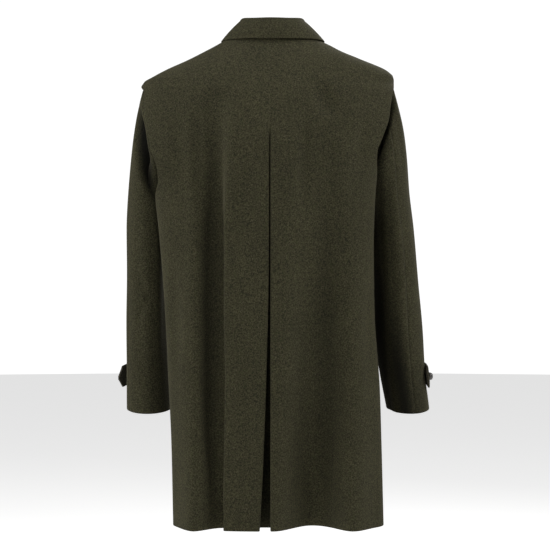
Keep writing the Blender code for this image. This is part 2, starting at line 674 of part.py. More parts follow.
def build_tabs():
    for side in (LEFT, RIGHT):
        rows, onward, out = tab_rows(side)
        straight = TAB_FREE_LENGTH - TAB_POINT_LENGTH
        tip_height = TAB_TIP_HALF_HEIGHT / TAB_HALF_HEIGHT
        centre = rows[TAB_ROWS // 2, -1]
        free = []
        for length, height in ((0.5 * straight, 1.0), (straight, 1.0), (TAB_FREE_LENGTH, tip_height)):
            free.append(centre + (rows[:, -1] - centre) * height + onward * length)
        grid = np.concatenate([rows, np.stack(free, axis=1)], axis=1)
        facing = np.concatenate([out, np.repeat(out[-1:], len(free), axis=0)])
        normals = np.repeat(facing[None], TAB_ROWS, axis=0)
        add_wall(f"cuff_tab_{SIDE_NAMES[side]}", grid, normals, TAB_CLOTH)
        seat = centre + onward * TAB_BUTTON_PAST_BEND + out[-1] * (0.5 * TAB_CLOTH + SEAM_GAP)
        add_button(f"cuff_button_{SIDE_NAMES[side]}", CUFF_BUTTON_RADIUS, seat, out[-1])


def add_button(name, radius, seat, normal):
    """A domed button on a short shank, turned about the direction it faces."""
    shape = bmesh.new()
    rings = []
    for point in BUTTON_PROFILE:
        ring = []
        for k in range(BUTTON_SEGMENTS):
            angle = 2.0 * math.pi * k / BUTTON_SEGMENTS
            turned = Vector((math.cos(angle) * point.out, math.sin(angle) * point.out, point.up))
            ring.append(shape.verts.new(turned * radius))
        rings.append(ring)
    for low, high in zip(rings, rings[1:]):
        for k in range(BUTTON_SEGMENTS):
            m = (k + 1) % BUTTON_SEGMENTS
            shape.faces.new((low[k], low[m], high[m], high[k]))
    shape.faces.new(rings[0][::-1])
    crown = shape.verts.new((0.0, 0.0, BUTTON_CROWN * radius))
    for k in range(BUTTON_SEGMENTS):
        shape.faces.new((rings[-1][k], rings[-1][(k + 1) % BUTTON_SEGMENTS], crown))
    made = add_object(name, shape, "button")
    made.location = Vector(seat)
    made.rotation_euler = Vector(normal).to_track_quat("Z", "Y").to_euler()


def build_front_buttons():
    for index in range(FRONT_BUTTON_COUNT):
        z = FRONT_BUTTON_FIRST_Z - index * FRONT_BUTTON_STEP
        point = body_points(np.array(0.0), np.array(z), "front")
        lower = body_points(np.array(0.0), np.array(z - FRONT_SLOPE_STEP), "front")
        slope = (point[1] - lower[1]) / FRONT_SLOPE_STEP
        normal = unit(np.array([0.0, 1.0, -slope]))
        away = 1.5 * CLOTH + FRONT_LAP_GAP + SEAM_GAP
        add_button(f"front_button_{index + 1}", FRONT_BUTTON_RADIUS, point + normal * away, normal)


def main():
    for old in list(bpy.data.objects):
        bpy.data.objects.remove(old)
    coat = bpy.data.objects.new("coat", None)
    coat.hide_render = True
    bpy.context.collection.objects.link(coat)
    ends = build_backs()
    build_underlay(ends)
    build_fronts()
    build_collar()
    build_sleeves()
    build_tabs()
    build_front_buttons()


main()
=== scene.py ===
"""Looks of a man's wool overcoat, filled out as if worn, with an inverted pleat down the back.

Metres, +Z up. The back faces -Y, the wearer faces +Y, and -X is the wearer's left.
Each cloth piece is a thin shell on the form of its solid, with its creases placed one by one.
"""

import math
from collections import namedtuple

import bpy
import numpy as np
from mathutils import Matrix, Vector


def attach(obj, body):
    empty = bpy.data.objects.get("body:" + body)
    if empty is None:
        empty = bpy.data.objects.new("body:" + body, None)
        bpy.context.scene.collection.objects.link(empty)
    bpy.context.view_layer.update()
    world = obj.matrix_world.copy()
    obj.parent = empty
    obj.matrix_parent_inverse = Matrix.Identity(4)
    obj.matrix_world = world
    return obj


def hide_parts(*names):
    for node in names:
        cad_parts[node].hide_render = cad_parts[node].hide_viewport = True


bl_info = {
    "name": "Wool Overcoat",
    "version": (1, 0, 0),
    "blender": (4, 5, 0),
    "location": "View3D > Sidebar > Coat",
    "description": "Builds the cloth, straps, buttons, sewing and studio of a wool overcoat",
    "category": "Add Mesh",
}

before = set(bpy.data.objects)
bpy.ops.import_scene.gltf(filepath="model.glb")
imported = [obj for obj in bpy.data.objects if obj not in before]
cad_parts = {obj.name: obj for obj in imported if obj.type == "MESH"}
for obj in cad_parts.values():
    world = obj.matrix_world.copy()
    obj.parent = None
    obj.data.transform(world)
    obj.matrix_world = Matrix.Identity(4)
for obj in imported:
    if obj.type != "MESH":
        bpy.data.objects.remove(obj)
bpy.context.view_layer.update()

LEFT = -1
RIGHT = 1
SIDE_NAMES = {LEFT: "left", RIGHT: "right"}
OUTWARD_Y = {"back": -1.0, "front": 1.0}
TURN = 2.0 * math.pi
UP = np.array([0.0, 0.0, 1.0])
SHORTEST = 1e-12

# Main levels
HEM_Z = -0.965
NECK_SIDE_Z = -0.004
NECK_BACK_Z = 0.004
NECK_FRONT_Z = -0.062
SHOULDER_TIP_Z = {LEFT: -0.091, RIGHT: -0.082}

# Body outline
BODY_ROUNDNESS = 2.2
FOLD_FADE_START = 0.05
FOLD_FADE_END = 0.45
FOLD_SET_END = 0.35
NECK_FRONT_CURVE = 0.75
SIDE_SEAM_DEG = 89.9
FRONT_LAP = 0.035
LAP_BLEND_START = 0.110
LAP_BLEND_END = 0.066
LEVEL_COLUMNS_Z = -0.12
ARC_COLUMNS_Z = -0.33

# Centre back pleat
PLEAT_TOP_Z = -0.196
PLEAT_FOLD_RADIUS = 0.0027
SEAM_FOLD_RADIUS = 0.0004
PLEAT_FOLD_BLEND = 0.012
UNDERLAY_OVERLAP = 0.010
# Painted shade on the cloth turned under the pleat and on the strip behind it
PLEAT_SHADE = 0.45
UNDERLAY_DROP = 0.009

# Collar
COLLAR_FOLD_RADIUS = 0.0032
COLLAR_FOLD_HALF_WIDTH = {LEFT: 0.0575, RIGHT: 0.0650}
COLLAR_FOLD_BACK_Y = -0.0630
COLLAR_FOLD_FRONT_Y = 0.0760
COLLAR_FOLD_Z = 0.0274
COLLAR_SIDE_RISE = 0.0080
COLLAR_FOLD_FRONT_DROP = 0.0551
COLLAR_END_DEG = 172.0
COLLAR_EDGE_HALF_WIDTH = {LEFT: 0.0965, RIGHT: 0.1060}
COLLAR_EDGE_BACK_Z = -0.0135
COLLAR_POINT_X = 0.050
COLLAR_POINT_Z = -0.112
COLLAR_BACK_STANDOFF = 0.0058
COLLAR_SIDE_STANDOFF = 0.0034
COLLAR_FRONT_STANDOFF = 0.0102
COLLAR_SEAM_LIFT = 0.0028
COLLAR_FRONT_LIFT = 0.0022
COLLAR_BULGE = 0.0015
COLLAR_DROP_CURVE = 3.0
COLLAR_RISE_CURVE = 4.0
COLLAR_EDGE_CURVE = 2.0
COLLAR_POINT_X_CURVE = 1.5
COLLAR_POINT_Z_CURVE = 1.15
COLLAR_LIFT_START = 0.2
COLLAR_LIFT_END = 0.7
COLLAR_STANDOFF_END = 0.4
COLLAR_SLOPE_END = 0.6
COLLAR_FACE_LESS = 0.45
COLLAR_UP_LEAST = 0.35
COLLAR_UP_MORE = 0.60

# Sleeves
SLEEVE_ROUNDNESS = 2.1
SLEEVE_RADIUS = 0.055
BACK_SEAM_DEG = -75.0
FRONT_SEAM_DEG = 105.0
SLEEVE_TWIST_DEG = {LEFT: 42.0, RIGHT: 0.0}
SEAM_DIP = 0.0011
SEAM_DIP_REACH = 0.0030
# Painted shade along each sleeve seam, and how far across the cloth it spreads
SEAM_SHADE = 0.55
SEAM_SHADE_REACH = 0.0009
SEAM_BUNCHING = 0.88
HEAD_TUCK = 0.0042
HEAD_FRONT_BLEND = 0.45
HEAD_FIT_START = 0.8
HEAD_FIT_END = 2.8
HEAD_CREASE_FADE = 0.6

# Turned-up hems; the reach is how far from a piece's ends they are let out
HEM_DEPTH = 0.8
HEM_STEP = 0.002
HEM_REACH = {"back": 0.05, "front": 0.02, "sleeve": 0.012}
HEM_REACH_START = 0.3

# Cuff straps
TAB_MIDDLE_Z = -0.676
TAB_HALF_HEIGHT = 0.0225
TAB_FREE_LENGTH = {LEFT: 0.046, RIGHT: 0.042}
TAB_POINT_LENGTH = 0.013
TAB_TIP_HALF_HEIGHT = 0.0020
TAB_BUTTON_PAST_BEND = 0.014
CUFF_BUTTON_TILT = 0.33
CUFF_BUTTON_DROP = 0.0020
TAB_SEAM_CLEARANCE = 0.03
TAB_SAG = {LEFT: 0.27, RIGHT: 0.10}
TAB_STILL_MARGIN = 0.020
TAB_STILL_DEG = 60.0
TAB_STILL_END_DEG = 85.0
TAB_STITCH_INSET = 0.0045

# Buttons and buttonholes
FRONT_BUTTON_FIRST_Z = -0.135
FRONT_BUTTON_STEP = 0.118
FRONT_BUTTON_COUNT = 5
FRONT_SLOPE_STEP = 0.010
KNOT_STRIP = 0.56
KNOT_RELIEF = 0.125
KNOT_DIP = 0.75
KNOT_DIP_CURVE = 5
KNOT_TURN_DEG = 28.0
CROWN_START = 0.30
CROWN_FULL = 0.45
CROWN_LEVEL = 0.75
HOLE_START_X = 0.004
HOLE_END_X = -0.025
HOLE_HALF_HEIGHT = 0.0021
HOLE_STITCHES = 26
HOLE_OPENING = 0.12
HOLE_THREAD = 1.5
STITCH_GAP = 0.3
STITCH_STEEP = 0.8

# Grid counts
BACK_COLUMNS = 74
FRONT_COLUMNS = 66
PANEL_ROWS = 170
ROW_BUNCHING = 0.60
FOLD_ARC_POINTS = 8
RETURN_POINTS = 5
UNDERLAY_COLUMNS = 22
UNDERLAY_ROWS = 90
SLEEVE_RINGS = 150
SLEEVE_COLUMNS = 66
COLLAR_COLUMNS = 141
COLLAR_STAND_POINTS = 8
COLLAR_ROLL_POINTS = 7
COLLAR_FALL_POINTS = 16
TAB_COLUMNS = 36
TAB_FREE_COLUMNS = 18
TAB_ROWS = 15
KNOT_SEGMENTS = 72
KNOT_RINGS = 34
RIM_POINTS = 3
STITCH_SIDES = 5
SHOULDER_SAMPLES = 60

# Maps of a shell: places in the bake map, and how far in from its edges cloth is worn
BAKE_MARGIN = 0.004
BAKE_WIDTH = 0.486
BAKE_HEIGHT = 0.956
BAKE_INNER_U = 0.506
BAKE_RIM_V = 0.968
BAKE_RIM_STEP = 0.007
WORN_REACH = 0.004

# Finishes: shares of the colours and heights that they are mixed from; the pitch is in metres
MOSS_SHARE = 0.55
DARK_SHARE = 0.30
CLOUD_DARKEST = 0.93
CLOUD_PALEST = 1.07
SPUN_HEIGHT = 0.5
WEAVE_PITCH = 0.0016
WEAVE_HEIGHT = 0.35
# Colour of the deepest painted shade, as a share of the dark fibre's colour
PAINTED_SHADE_TONE = 0.12
STRAP_DARK = 0.45
STRAP_MOSS = 0.5
THREAD_PALE = 1.3
THREAD_DARK = 0.6
KNOT_DARK = 0.6
KNOT_PALE = 1.3
# Paleness of a button's raised strips, from wear and a painted highlight
KNOT_WORN_AND_HIGHLIGHT = 4.6
FLOOR_TINT = 0.98
WHITE = (1.0, 1.0, 1.0, 1.0)

# Sockets of a colour mix, which share their labels, and the spacing of nodes in the editor
MIX_MASK = 0
MIX_FIRST = 6
MIX_SECOND = 7
MIX_RESULT = 2
NODE_ACROSS = 220
NODE_DOWN = 200

Section = namedtuple("Section", "z half_left half_right y_back y_side y_front")
BODY = [
    Section(0.010, 0.060, 0.062, -0.058, 0.000, 0.026),
    Section(-0.004, 0.084, 0.088, -0.064, 0.000, 0.040),
    Section(-0.014, 0.100, 0.111, -0.070, 0.000, 0.050),
    Section(-0.032, 0.135, 0.145, -0.080, 0.000, 0.066),
    Section(-0.044, 0.160, 0.176, -0.087, 0.000, 0.076),
    Section(-0.068, 0.212, 0.233, -0.099, 0.000, 0.089),
    Section(-0.082, 0.238, 0.2455, -0.105, 0.000, 0.095),
    Section(-0.091, 0.2525, 0.2456, -0.109, 0.000, 0.098),
    Section(-0.115, 0.2630, 0.2525, -0.118, -0.006, 0.104),
    Section(-0.165, 0.2714, 0.2519, -0.130, -0.018, 0.114),
    Section(-0.195, 0.2716, 0.2446, -0.135, -0.025, 0.119),
    Section(-0.223, 0.2693, 0.2338, -0.138, -0.032, 0.122),
    Section(-0.253, 0.2611, 0.2174, -0.140, -0.038, 0.125),
    Section(-0.294, 0.2348, 0.2080, -0.142, -0.043, 0.127),
    Section(-0.324, 0.2267, 0.2054, -0.142, -0.046, 0.127),
    Section(-0.416, 0.2160, 0.2022, -0.141, -0.050, 0.125),
    Section(-0.542, 0.2066, 0.2036, -0.141, -0.050, 0.128),
    Section(-0.698, 0.1987, 0.2142, -0.143, -0.051, 0.137),
    Section(-0.806, 0.1936, 0.2174, -0.144, -0.053, 0.144),
    Section(-0.965, 0.1900, 0.2214, -0.1445, -0.055, 0.150),
]

# How far round from the centre line each panel reaches, in degrees; 90 is the side seam
Armhole = namedtuple("Armhole", "z back_left back_right front_left front_right")
ARMHOLE = [
    Armhole(-0.082, 90.0, 90.0, 90.0, 90.0),
    Armhole(-0.091, 90.0, 86.0, 88.0, 84.0),
    Armhole(-0.115, 69.5, 72.0, 66.0, 68.0),
    Armhole(-0.165, 64.0, 66.0, 55.0, 60.0),
    Armhole(-0.195, 60.5, 64.0, 51.0, 57.0),
    Armhole(-0.223, 58.5, 63.0, 50.0, 57.0),
    Armhole(-0.253, 57.5, 72.0, 51.0, 59.0),
    Armhole(-0.294, 67.5, 86.0, 56.0, 64.0),
    Armhole(-0.324, 82.0, 90.0, 64.0, 72.0),
    Armhole(-0.365, 90.0, 90.0, 90.0, 90.0),
]

# Large folds; a negative depth stands out from the panel, soft widens the right flank at the top,
# and roll draws the bottom of a fold under the cloth on its right
Fold = namedtuple("Fold", "face x_top x_hem left_flank right_flank depth top_z growth soft roll")
FOLDS = [
    Fold("back", -0.1040, -0.1010, 0.050, 0.014, 0.036, -0.115, 0.50, 0.030, 0.55),
    Fold("back", -0.1550, -0.1500, 0.040, 0.036, -0.027, -0.320, 1.20, 0.000, 0.00),
    Fold("back", 0.1000, 0.0800, 0.074, 0.080, 0.074, -0.110, 1.20, 0.000, 0.00),
    Fold("back", 0.1680, 0.1640, 0.046, 0.044, -0.022, -0.320, 1.20, 0.000, 0.00),
    Fold("front", -0.1020, -0.1160, 0.048, 0.052, 0.036, -0.400, 1.20, 0.000, 0.00),
    Fold("front", 0.1080, 0.1220, 0.056, 0.050, 0.042, -0.380, 1.25, 0.000, 0.00),
]

# Pleat mouth, and how wide and deep the cloth turned under it lies
Pleat = namedtuple("Pleat", "z mouth return_width return_depth")
PLEAT = [
    Pleat(0.010, 0.0000, 0.008, 0.0006),
    Pleat(-0.120, 0.0000, 0.012, 0.0008),
    Pleat(-0.165, 0.0002, 0.030, 0.0010),
    Pleat(-0.200, 0.0012, 0.034, 0.0012),
    Pleat(-0.450, 0.0024, 0.034, 0.0050),
    Pleat(-0.690, 0.0080, 0.034, 0.0190),
    Pleat(-0.860, 0.0145, 0.035, 0.0330),
    Pleat(-0.965, 0.0200, 0.036, 0.0420),
]

# Sleeve rings: outermost and innermost point, middle depth, half depth, how far the front
# stands above the back, and the share by which the outer end is narrowed under the shoulder
Ring = namedtuple("Ring", "station outer_x outer_z inner_x inner_z y_mid half_depth front_lift cap")
SLEEVES = {
    LEFT: [
        Ring(0, -0.2500, -0.0938, -0.2070, -0.215, -0.002, 0.054, 0.000, 0.45),
        Ring(1, -0.2548, -0.1040, -0.2110, -0.243, 0.000, 0.058, 0.000, 0.40),
        Ring(2, -0.2640, -0.1380, -0.2130, -0.262, 0.005, 0.064, 0.000, 0.25),
        Ring(3, -0.2727, -0.1860, -0.2145, -0.280, 0.014, 0.069, 0.000, 0.10),
        Ring(4, -0.2815, -0.2500, -0.2165, -0.305, 0.031, 0.070, 0.000, 0.00),
        Ring(5, -0.2870, -0.3150, -0.2165, -0.337, 0.046, 0.068, 0.000, 0.00),
        Ring(6, -0.2905, -0.3850, -0.2155, -0.395, 0.050, 0.066, 0.000, 0.00),
        Ring(7, -0.2910, -0.4550, -0.2145, -0.460, 0.050, 0.063, 0.000, 0.00),
        Ring(8, -0.2910, -0.5250, -0.2130, -0.528, 0.050, 0.060, 0.001, 0.00),
        Ring(9, -0.2910, -0.6000, -0.2100, -0.600, 0.051, 0.057, 0.003, 0.00),
        Ring(10, -0.2908, -0.6750, -0.2060, -0.674, 0.053, 0.056, 0.006, 0.00),
        Ring(11, -0.2900, -0.7440, -0.2030, -0.744, 0.055, 0.056, 0.008, 0.00),
    ],
    RIGHT: [
        Ring(0, 0.2395, -0.0812, 0.1960, -0.205, -0.002, 0.054, 0.000, 0.45),
        Ring(1, 0.2446, -0.0980, 0.2000, -0.236, 0.000, 0.058, 0.000, 0.40),
        Ring(2, 0.2550, -0.1380, 0.2020, -0.258, 0.005, 0.063, 0.000, 0.25),
        Ring(3, 0.2655, -0.1860, 0.2030, -0.278, 0.014, 0.068, 0.000, 0.10),
        Ring(4, 0.2738, -0.2450, 0.2040, -0.303, 0.031, 0.070, 0.000, 0.00),
        Ring(5, 0.2802, -0.3150, 0.2060, -0.337, 0.046, 0.068, 0.000, 0.00),
        Ring(6, 0.2893, -0.3850, 0.2110, -0.395, 0.050, 0.066, 0.000, 0.00),
        Ring(7, 0.2965, -0.4550, 0.2160, -0.460, 0.050, 0.063, 0.000, 0.00),
        Ring(8, 0.3022, -0.5250, 0.2190, -0.528, 0.050, 0.060, 0.001, 0.00),
        Ring(9, 0.3082, -0.6000, 0.2225, -0.600, 0.051, 0.057, 0.003, 0.00),
        Ring(10, 0.3128, -0.6750, 0.2302, -0.674, 0.053, 0.056, 0.006, 0.00),
        Ring(11, 0.3203, -0.7440, 0.2392, -0.744, 0.055, 0.056, 0.008, 0.00),
    ],
}

# Creases of the body cloth; a negative depth is a ridge, and shade is painted shade on the cloth's colour
Crease = namedtuple("Crease", "x_start z_start x_end z_end width depth shade", defaults=(0.0,))
BODY_CREASES = {
    "back": [
        Crease(-0.112, -0.100, -0.110, -1.000, 0.030, 0.0130, 0.32),
        Crease(-0.182, -0.140, -0.170, -0.310, 0.024, 0.0040),
        Crease(-0.146, -0.110, -0.134, -0.380, 0.018, 0.0060, 0.10),
        Crease(-0.076, -0.095, -0.070, -0.400, 0.022, -0.0045),
        Crease(-0.150, -0.260, -0.146, -0.620, 0.022, -0.0030),
        Crease(0.084, -0.090, 0.128, -0.178, 0.030, 0.0066, 0.10),
        Crease(0.066, -0.130, 0.060, -0.380, 0.020, 0.0045),
        Crease(0.106, -0.260, 0.108, -1.050, 0.030, 0.0050, 0.24),
        Crease(0.134, -0.160, 0.140, -0.380, 0.024, -0.0032),
        Crease(0.182, -0.150, 0.170, -0.300, 0.020, 0.0034),
        Crease(0.036, -0.420, 0.030, -0.760, 0.026, -0.0024),
        Crease(-0.186, -0.420, -0.180, -0.700, 0.020, 0.0030),
        Crease(0.190, -0.460, 0.196, -0.780, 0.020, 0.0034),
        Crease(-0.040, -0.520, -0.046, -0.880, 0.022, 0.0020),
    ],
    "front": [
        Crease(-0.170, -0.120, -0.110, -0.300, 0.026, 0.0050),
        Crease(0.176, -0.112, 0.116, -0.285, 0.028, 0.0046),
        Crease(-0.118, -0.160, -0.092, -0.420, 0.024, -0.0036),
        Crease(0.112, -0.150, 0.094, -0.380, 0.022, -0.0034),
        Crease(-0.176, -0.400, -0.160, -0.640, 0.024, 0.0036),
        Crease(0.180, -0.430, 0.168, -0.700, 0.026, 0.0040),
        Crease(-0.078, -0.520, -0.082, -0.860, 0.020, -0.0026),
        Crease(0.074, -0.480, 0.080, -0.820, 0.022, -0.0024),
    ],
}

# Creases of the sleeves, by the angle round the sleeve: 0 outermost, -90 back, 90 front; shade is painted
# shade
SleeveCrease = namedtuple(
    "SleeveCrease", "deg_start z_start deg_end z_end width depth shade", defaults=(0.0,)
)
SLEEVE_CREASES = {
    LEFT: [
        SleeveCrease(-13.0, -0.125, -136.0, -0.336, 0.027, 0.0300, 2.20),
        SleeveCrease(-10.0, -0.050, -10.0, -0.330, 0.034, 0.0015),
        SleeveCrease(-92.0, -0.290, -100.0, -0.730, 0.020, -0.0034),
        SleeveCrease(-124.0, -0.200, -124.0, -0.700, 0.032, -0.0060),
        SleeveCrease(-124.0, -0.520, -132.0, -1.000, 0.038, 0.0010, 0.22),
        SleeveCrease(-70.0, -0.470, -120.0, -0.545, 0.013, 0.0030),
        SleeveCrease(-112.0, -0.500, -60.0, -0.585, 0.012, 0.0024),
        SleeveCrease(70.0, -0.420, 130.0, -0.480, 0.014, 0.0044),
        SleeveCrease(56.0, -0.490, 120.0, -0.520, 0.012, 0.0038),
        SleeveCrease(40.0, -0.160, 62.0, -0.340, 0.018, 0.0040),
    ],
    RIGHT: [
        SleeveCrease(3.0, -0.062, -161.0, -0.277, 0.013, 0.0160, 1.10),
        SleeveCrease(-84.0, -0.240, -92.0, -0.640, 0.020, -0.0056),
        SleeveCrease(-165.0, -0.315, -165.0, -0.960, 0.040, 0.0030, 0.90),
        SleeveCrease(-122.0, -0.450, -80.0, -1.060, 0.039, 0.0020, 0.88),
        SleeveCrease(-66.0, -0.580, -66.0, -0.960, 0.042, 0.0012, 0.36),
        SleeveCrease(180.0, -0.240, 180.0, -0.830, 0.036, -0.0115),
        SleeveCrease(-64.0, -0.440, -118.0, -0.520, 0.014, 0.0026),
        SleeveCrease(-36.0, -0.090, -40.0, -0.300, 0.016, -0.0030),
        SleeveCrease(66.0, -0.430, 126.0, -0.470, 0.013, 0.0042),
        SleeveCrease(58.0, -0.480, 118.0, -0.530, 0.012, 0.0036),
        SleeveCrease(44.0, -0.150, 60.0, -0.320, 0.018, 0.0040),
    ],
}
CREASE_FADE = 0.38
CREASE_END_WIDTH = 0.6
# Most painted shade that the sleeve creases may lay on the colour
PAINTED_SHADE_DARKEST = 0.97

# Slow unevenness of hanging cloth
Wave = namedtuple("Wave", "across_pitch down_pitch shift height")
UNEVEN = [
    Wave(0.210, 0.470, 0.15, 0.0009),
    Wave(0.130, 0.290, 0.62, 0.0006),
    Wave(0.075, 0.190, 0.35, 0.0004),
]

# Turned outline of a button, as shares of its radius: out from the axis, up from the seat
ButtonPoint = namedtuple("ButtonPoint", "along out up")
BUTTON_PROFILE = [
    ButtonPoint(0.00, 0.36, 0.00),
    ButtonPoint(0.10, 0.36, 0.20),
    ButtonPoint(0.25, 0.84, 0.26),
    ButtonPoint(0.40, 1.00, 0.48),
    ButtonPoint(0.55, 0.94, 0.76),
    ButtonPoint(0.72, 0.72, 0.99),
    ButtonPoint(0.87, 0.38, 1.11),
    ButtonPoint(1.00, 0.00, 1.15),
]

# A stitch from end to end, as shares of its length and of the thread's radius
StitchRing = namedtuple("StitchRing", "along width")
STITCH_RINGS = [
    StitchRing(0.0, 0.35),
    StitchRing(0.2, 0.95),
    StitchRing(0.5, 1.10),
    StitchRing(0.8, 0.95),
    StitchRing(1.0, 0.35),
]

# Noise of the finishes: features a metre, the values from which and up to which its mask rises, finer
# layers, how much it is stretched along Z, and a shift that keeps patterns apart
Pattern = namedtuple("Pattern", "scale low high detail stretch shift", defaults=(1.0, 0.0))
PATTERNS = {
    "spun": Pattern(400.0, 0.36, 0.66, 3.0),
    "moss": Pattern(280.0, 0.46, 0.72, 2.0, shift=3.1),
    "fibre": Pattern(900.0, 0.35, 0.68, 2.0, stretch=0.35, shift=5.7),
    "fleck": Pattern(520.0, 0.62, 0.74, 1.0, shift=8.3),
    "cloud": Pattern(11.0, 0.25, 0.75, 2.0, shift=1.9),
    "patchy": Pattern(160.0, 0.30, 0.72, 3.0, shift=2.2),
    "grain": Pattern(1800.0, 0.30, 0.70, 3.0),
    "floor": Pattern(3.0, 0.30, 0.70, 3.0),
}
PATTERN_SHIFT_WAY = (1.0, 0.7, 0.3)

# Studio lights, all aimed at the middle of the coat; azimuth 0 is behind the camera
Lamp = namedtuple("Lamp", "name azimuth elevation size power")
LAMPS = [
    Lamp("camera_key", -27.0, 14.0, 1.2, 36.0),
    Lamp("overhead_key", -15.0, 45.0, 1.2, 9.0),
    Lamp("right_side", 56.0, 18.0, 1.2, 31.0),
    Lamp("top_light", -60.0, 70.0, 1.2, 42.0),
    Lamp("left_side", -84.0, 15.0, 1.2, 43.0),
    Lamp("right_rim", 84.0, 40.0, 1.2, 54.0),
    Lamp("front_key", 150.0, 30.0, 1.2, 40.0),
]
LAMP_DISTANCE = 3.6
CAMERA_SPOT = (0.009, -3.3, -0.474)
CAMERA_LENS = 108.0
CAMERA_SENSOR = 36.0
COAT_MIDDLE = (0.0, 0.0, -0.46)
FLOOR_RADIUS = 14.0
FLOOR_SIDES = 96


def length_setting(name, description, default, precision=4):
    """A length in the sidebar, in metres."""
    return bpy.props.FloatProperty(
        name=name, description=description, default=default, unit="LENGTH", precision=precision
    )


def share_setting(name, description, default):
    """A share in the sidebar."""
    return bpy.props.FloatProperty(name=name, description=description, default=default, subtype="FACTOR")


def colour_setting(name, description, default):
    """A colour in the sidebar."""
    return bpy.props.FloatVectorProperty(
        name=name, description=description, default=default, size=3, subtype="COLOR"
    )


class CoatSizes(bpy.types.PropertyGroup):
    """Sizes of the cloth and its trimmings."""

    cloth: length_setting("Cloth", "Thickness of the wool cloth", 0.0024)
    strap_cloth: length_setting("Strap", "Thickness of a doubled cuff strap", 0.0040)
    seam_gap: length_setting("Seam gap", "Gap between sewn pieces", 0.0003)
    seam_bite: length_setting("Seam bite", "How far sewn edges press into each other", 0.0001, 5)
    back_seam_bite: length_setting(
        "Back seam bite", "How far both backs press into each other above the pleat", 0.0006, 5
    )
    lap_gap: length_setting("Lap gap", "Gap under a lapped piece", 0.0006)
    front_lap_gap: length_setting("Front lap gap", "Gap between the lapped fronts", 0.0012)
    hem_turn: length_setting("Hem turn-up", "Height of the doubled hem inside", 0.038, 3)
    crease_strength: share_setting("Creases", "Depth of the creases as a share of that placed by hand", 1.0)
    front_button: length_setting("Front button", "Radius of a front button", 0.0115)
    cuff_button: length_setting("Cuff button", "Radius of a cuff button", 0.0081)
    thread: length_setting("Thread", "Radius of the sewing thread", 0.00034, 5)
    stitch: length_setting("Stitch", "Length of a stitch", 0.0034)


class CoatColours(bpy.types.PropertyGroup):
    """Colours of the wool, the trimmings and the studio."""

    ground: colour_setting("Wool", "Main fibre of the cloth", (0.067, 0.0612, 0.0312))
    shade: colour_setting("Dark fibre", "Dark fibre of the cloth", (0.019, 0.0178, 0.0105))
    moss: colour_setting("Moss fibre", "Green fibre of the cloth", (0.040, 0.0465, 0.018))
    fleck: colour_setting("Pale fleck", "Pale fibre of the cloth", (0.150, 0.126, 0.075))
    strap: colour_setting("Strap wool", "Darker cloth of the cuff straps", (0.051, 0.047, 0.037))
    thread: colour_setting("Thread", "Sewing thread", (0.030, 0.028, 0.018))
    knot: colour_setting("Button", "Horn-like stuff of the buttons", (0.036, 0.033, 0.030))
    floor: colour_setting("Floor", "Studio floor", (0.86, 0.86, 0.85))


class CoatStudio(bpy.types.PropertyGroup):
    """Place and light of the studio."""

    floor_z: length_setting("Floor", "Height of the floor under a standing wearer", -1.50, 2)
    backdrop: share_setting("Backdrop", "Brightness of the plain backdrop", 1.05)
    ambient: share_setting("Ambient", "Soft light from all round", 0.005)
    floor_glow: share_setting("Floor glow", "Brightness added to the floor as seen", 0.75)


def sizes():
    """The sizes set in the sidebar."""
    return bpy.context.scene.coat_sizes


def colours():
    """The colours set in the sidebar."""
    return bpy.context.scene.coat_colours


def smooth_column(rows, name, along="z"):
    """A smooth curve, with no overshoot, through one named column of a table."""
    rows = sorted(rows, key=lambda row: getattr(row, along))
    place = np.array([getattr(row, along) for row in rows], float)
    value = np.array([getattr(row, name) for row in rows], float)
    step = np.diff(place)
    slope = np.diff(value) / step
    same_way = slope[:-1] * slope[1:] > 0.0
    total = np.where(same_way, slope[:-1] + slope[1:], 1.0)
    middle = np.where(same_way, 2.0 * slope[:-1] * slope[1:] / total, 0.0)
    lean = np.concatenate([slope[:1], middle, slope[-1:]])

    def read(at):
        at = np.clip(np.asarray(at, float), place[0], place[-1])
        i = np.clip(np.searchsorted(place, at) - 1, 0, len(step) - 1)
        t = (at - place[i]) / step[i]
        back = 1.0 - t
        start = value[i] * (1.0 + 2.0 * t) * back**2 + lean[i] * step[i] * t * back**2
        end = value[i + 1] * t**2 * (3.0 - 2.0 * t) - lean[i + 1] * step[i] * t**2 * back
        return start + end

    return read


Y_SIDE = smooth_column(BODY, "y_side")
Y_FACE = {face: smooth_column(BODY, f"y_{face}") for face in OUTWARD_Y}
HALF_WIDTH = {side: smooth_column(BODY, f"half_{name}") for side, name in SIDE_NAMES.items()}
REACH = {
    (face, side): smooth_column(ARMHOLE, f"{face}_{name}")
    for face in OUTWARD_Y
    for side, name in SIDE_NAMES.items()
}
PLEAT_MOUTH, RETURN_WIDTH, RETURN_DEPTH = [smooth_column(PLEAT, name) for name in Pleat._fields[1:]]
BUTTON_OUT, BUTTON_UP = [smooth_column(BUTTON_PROFILE, name, "along") for name in ("out", "up")]


def ease(value, start, end):
    """0 before start, 1 after end, smooth between them."""
    t = np.clip((value - start) / (end - start), 0.0, 1.0)
    return t * t * (3.0 - 2.0 * t)


def unit(vectors):
    """Vectors brought to a length of 1."""
    return vectors / np.maximum(np.linalg.norm(vectors, axis=-1, keepdims=True), SHORTEST)


def wrapped(angle):
    """An angle brought between minus and plus half a turn."""
    return np.mod(angle + math.pi, TURN) - math.pi


def half_width_at(x, z):
    """Half width of the body on the side that x lies on."""
    return np.where(np.asarray(x) < 0.0, HALF_WIDTH[LEFT](z), HALF_WIDTH[RIGHT](z))


def turn_at(x, z):
    """How far round the body a point at x lies: 0 on the centre line, 90 degrees at the side."""
    share = np.clip(np.abs(x) / half_width_at(x, z), 0.0, 1.0)
    return np.sign(x) * np.arcsin(share ** (BODY_ROUNDNESS / 2.0))


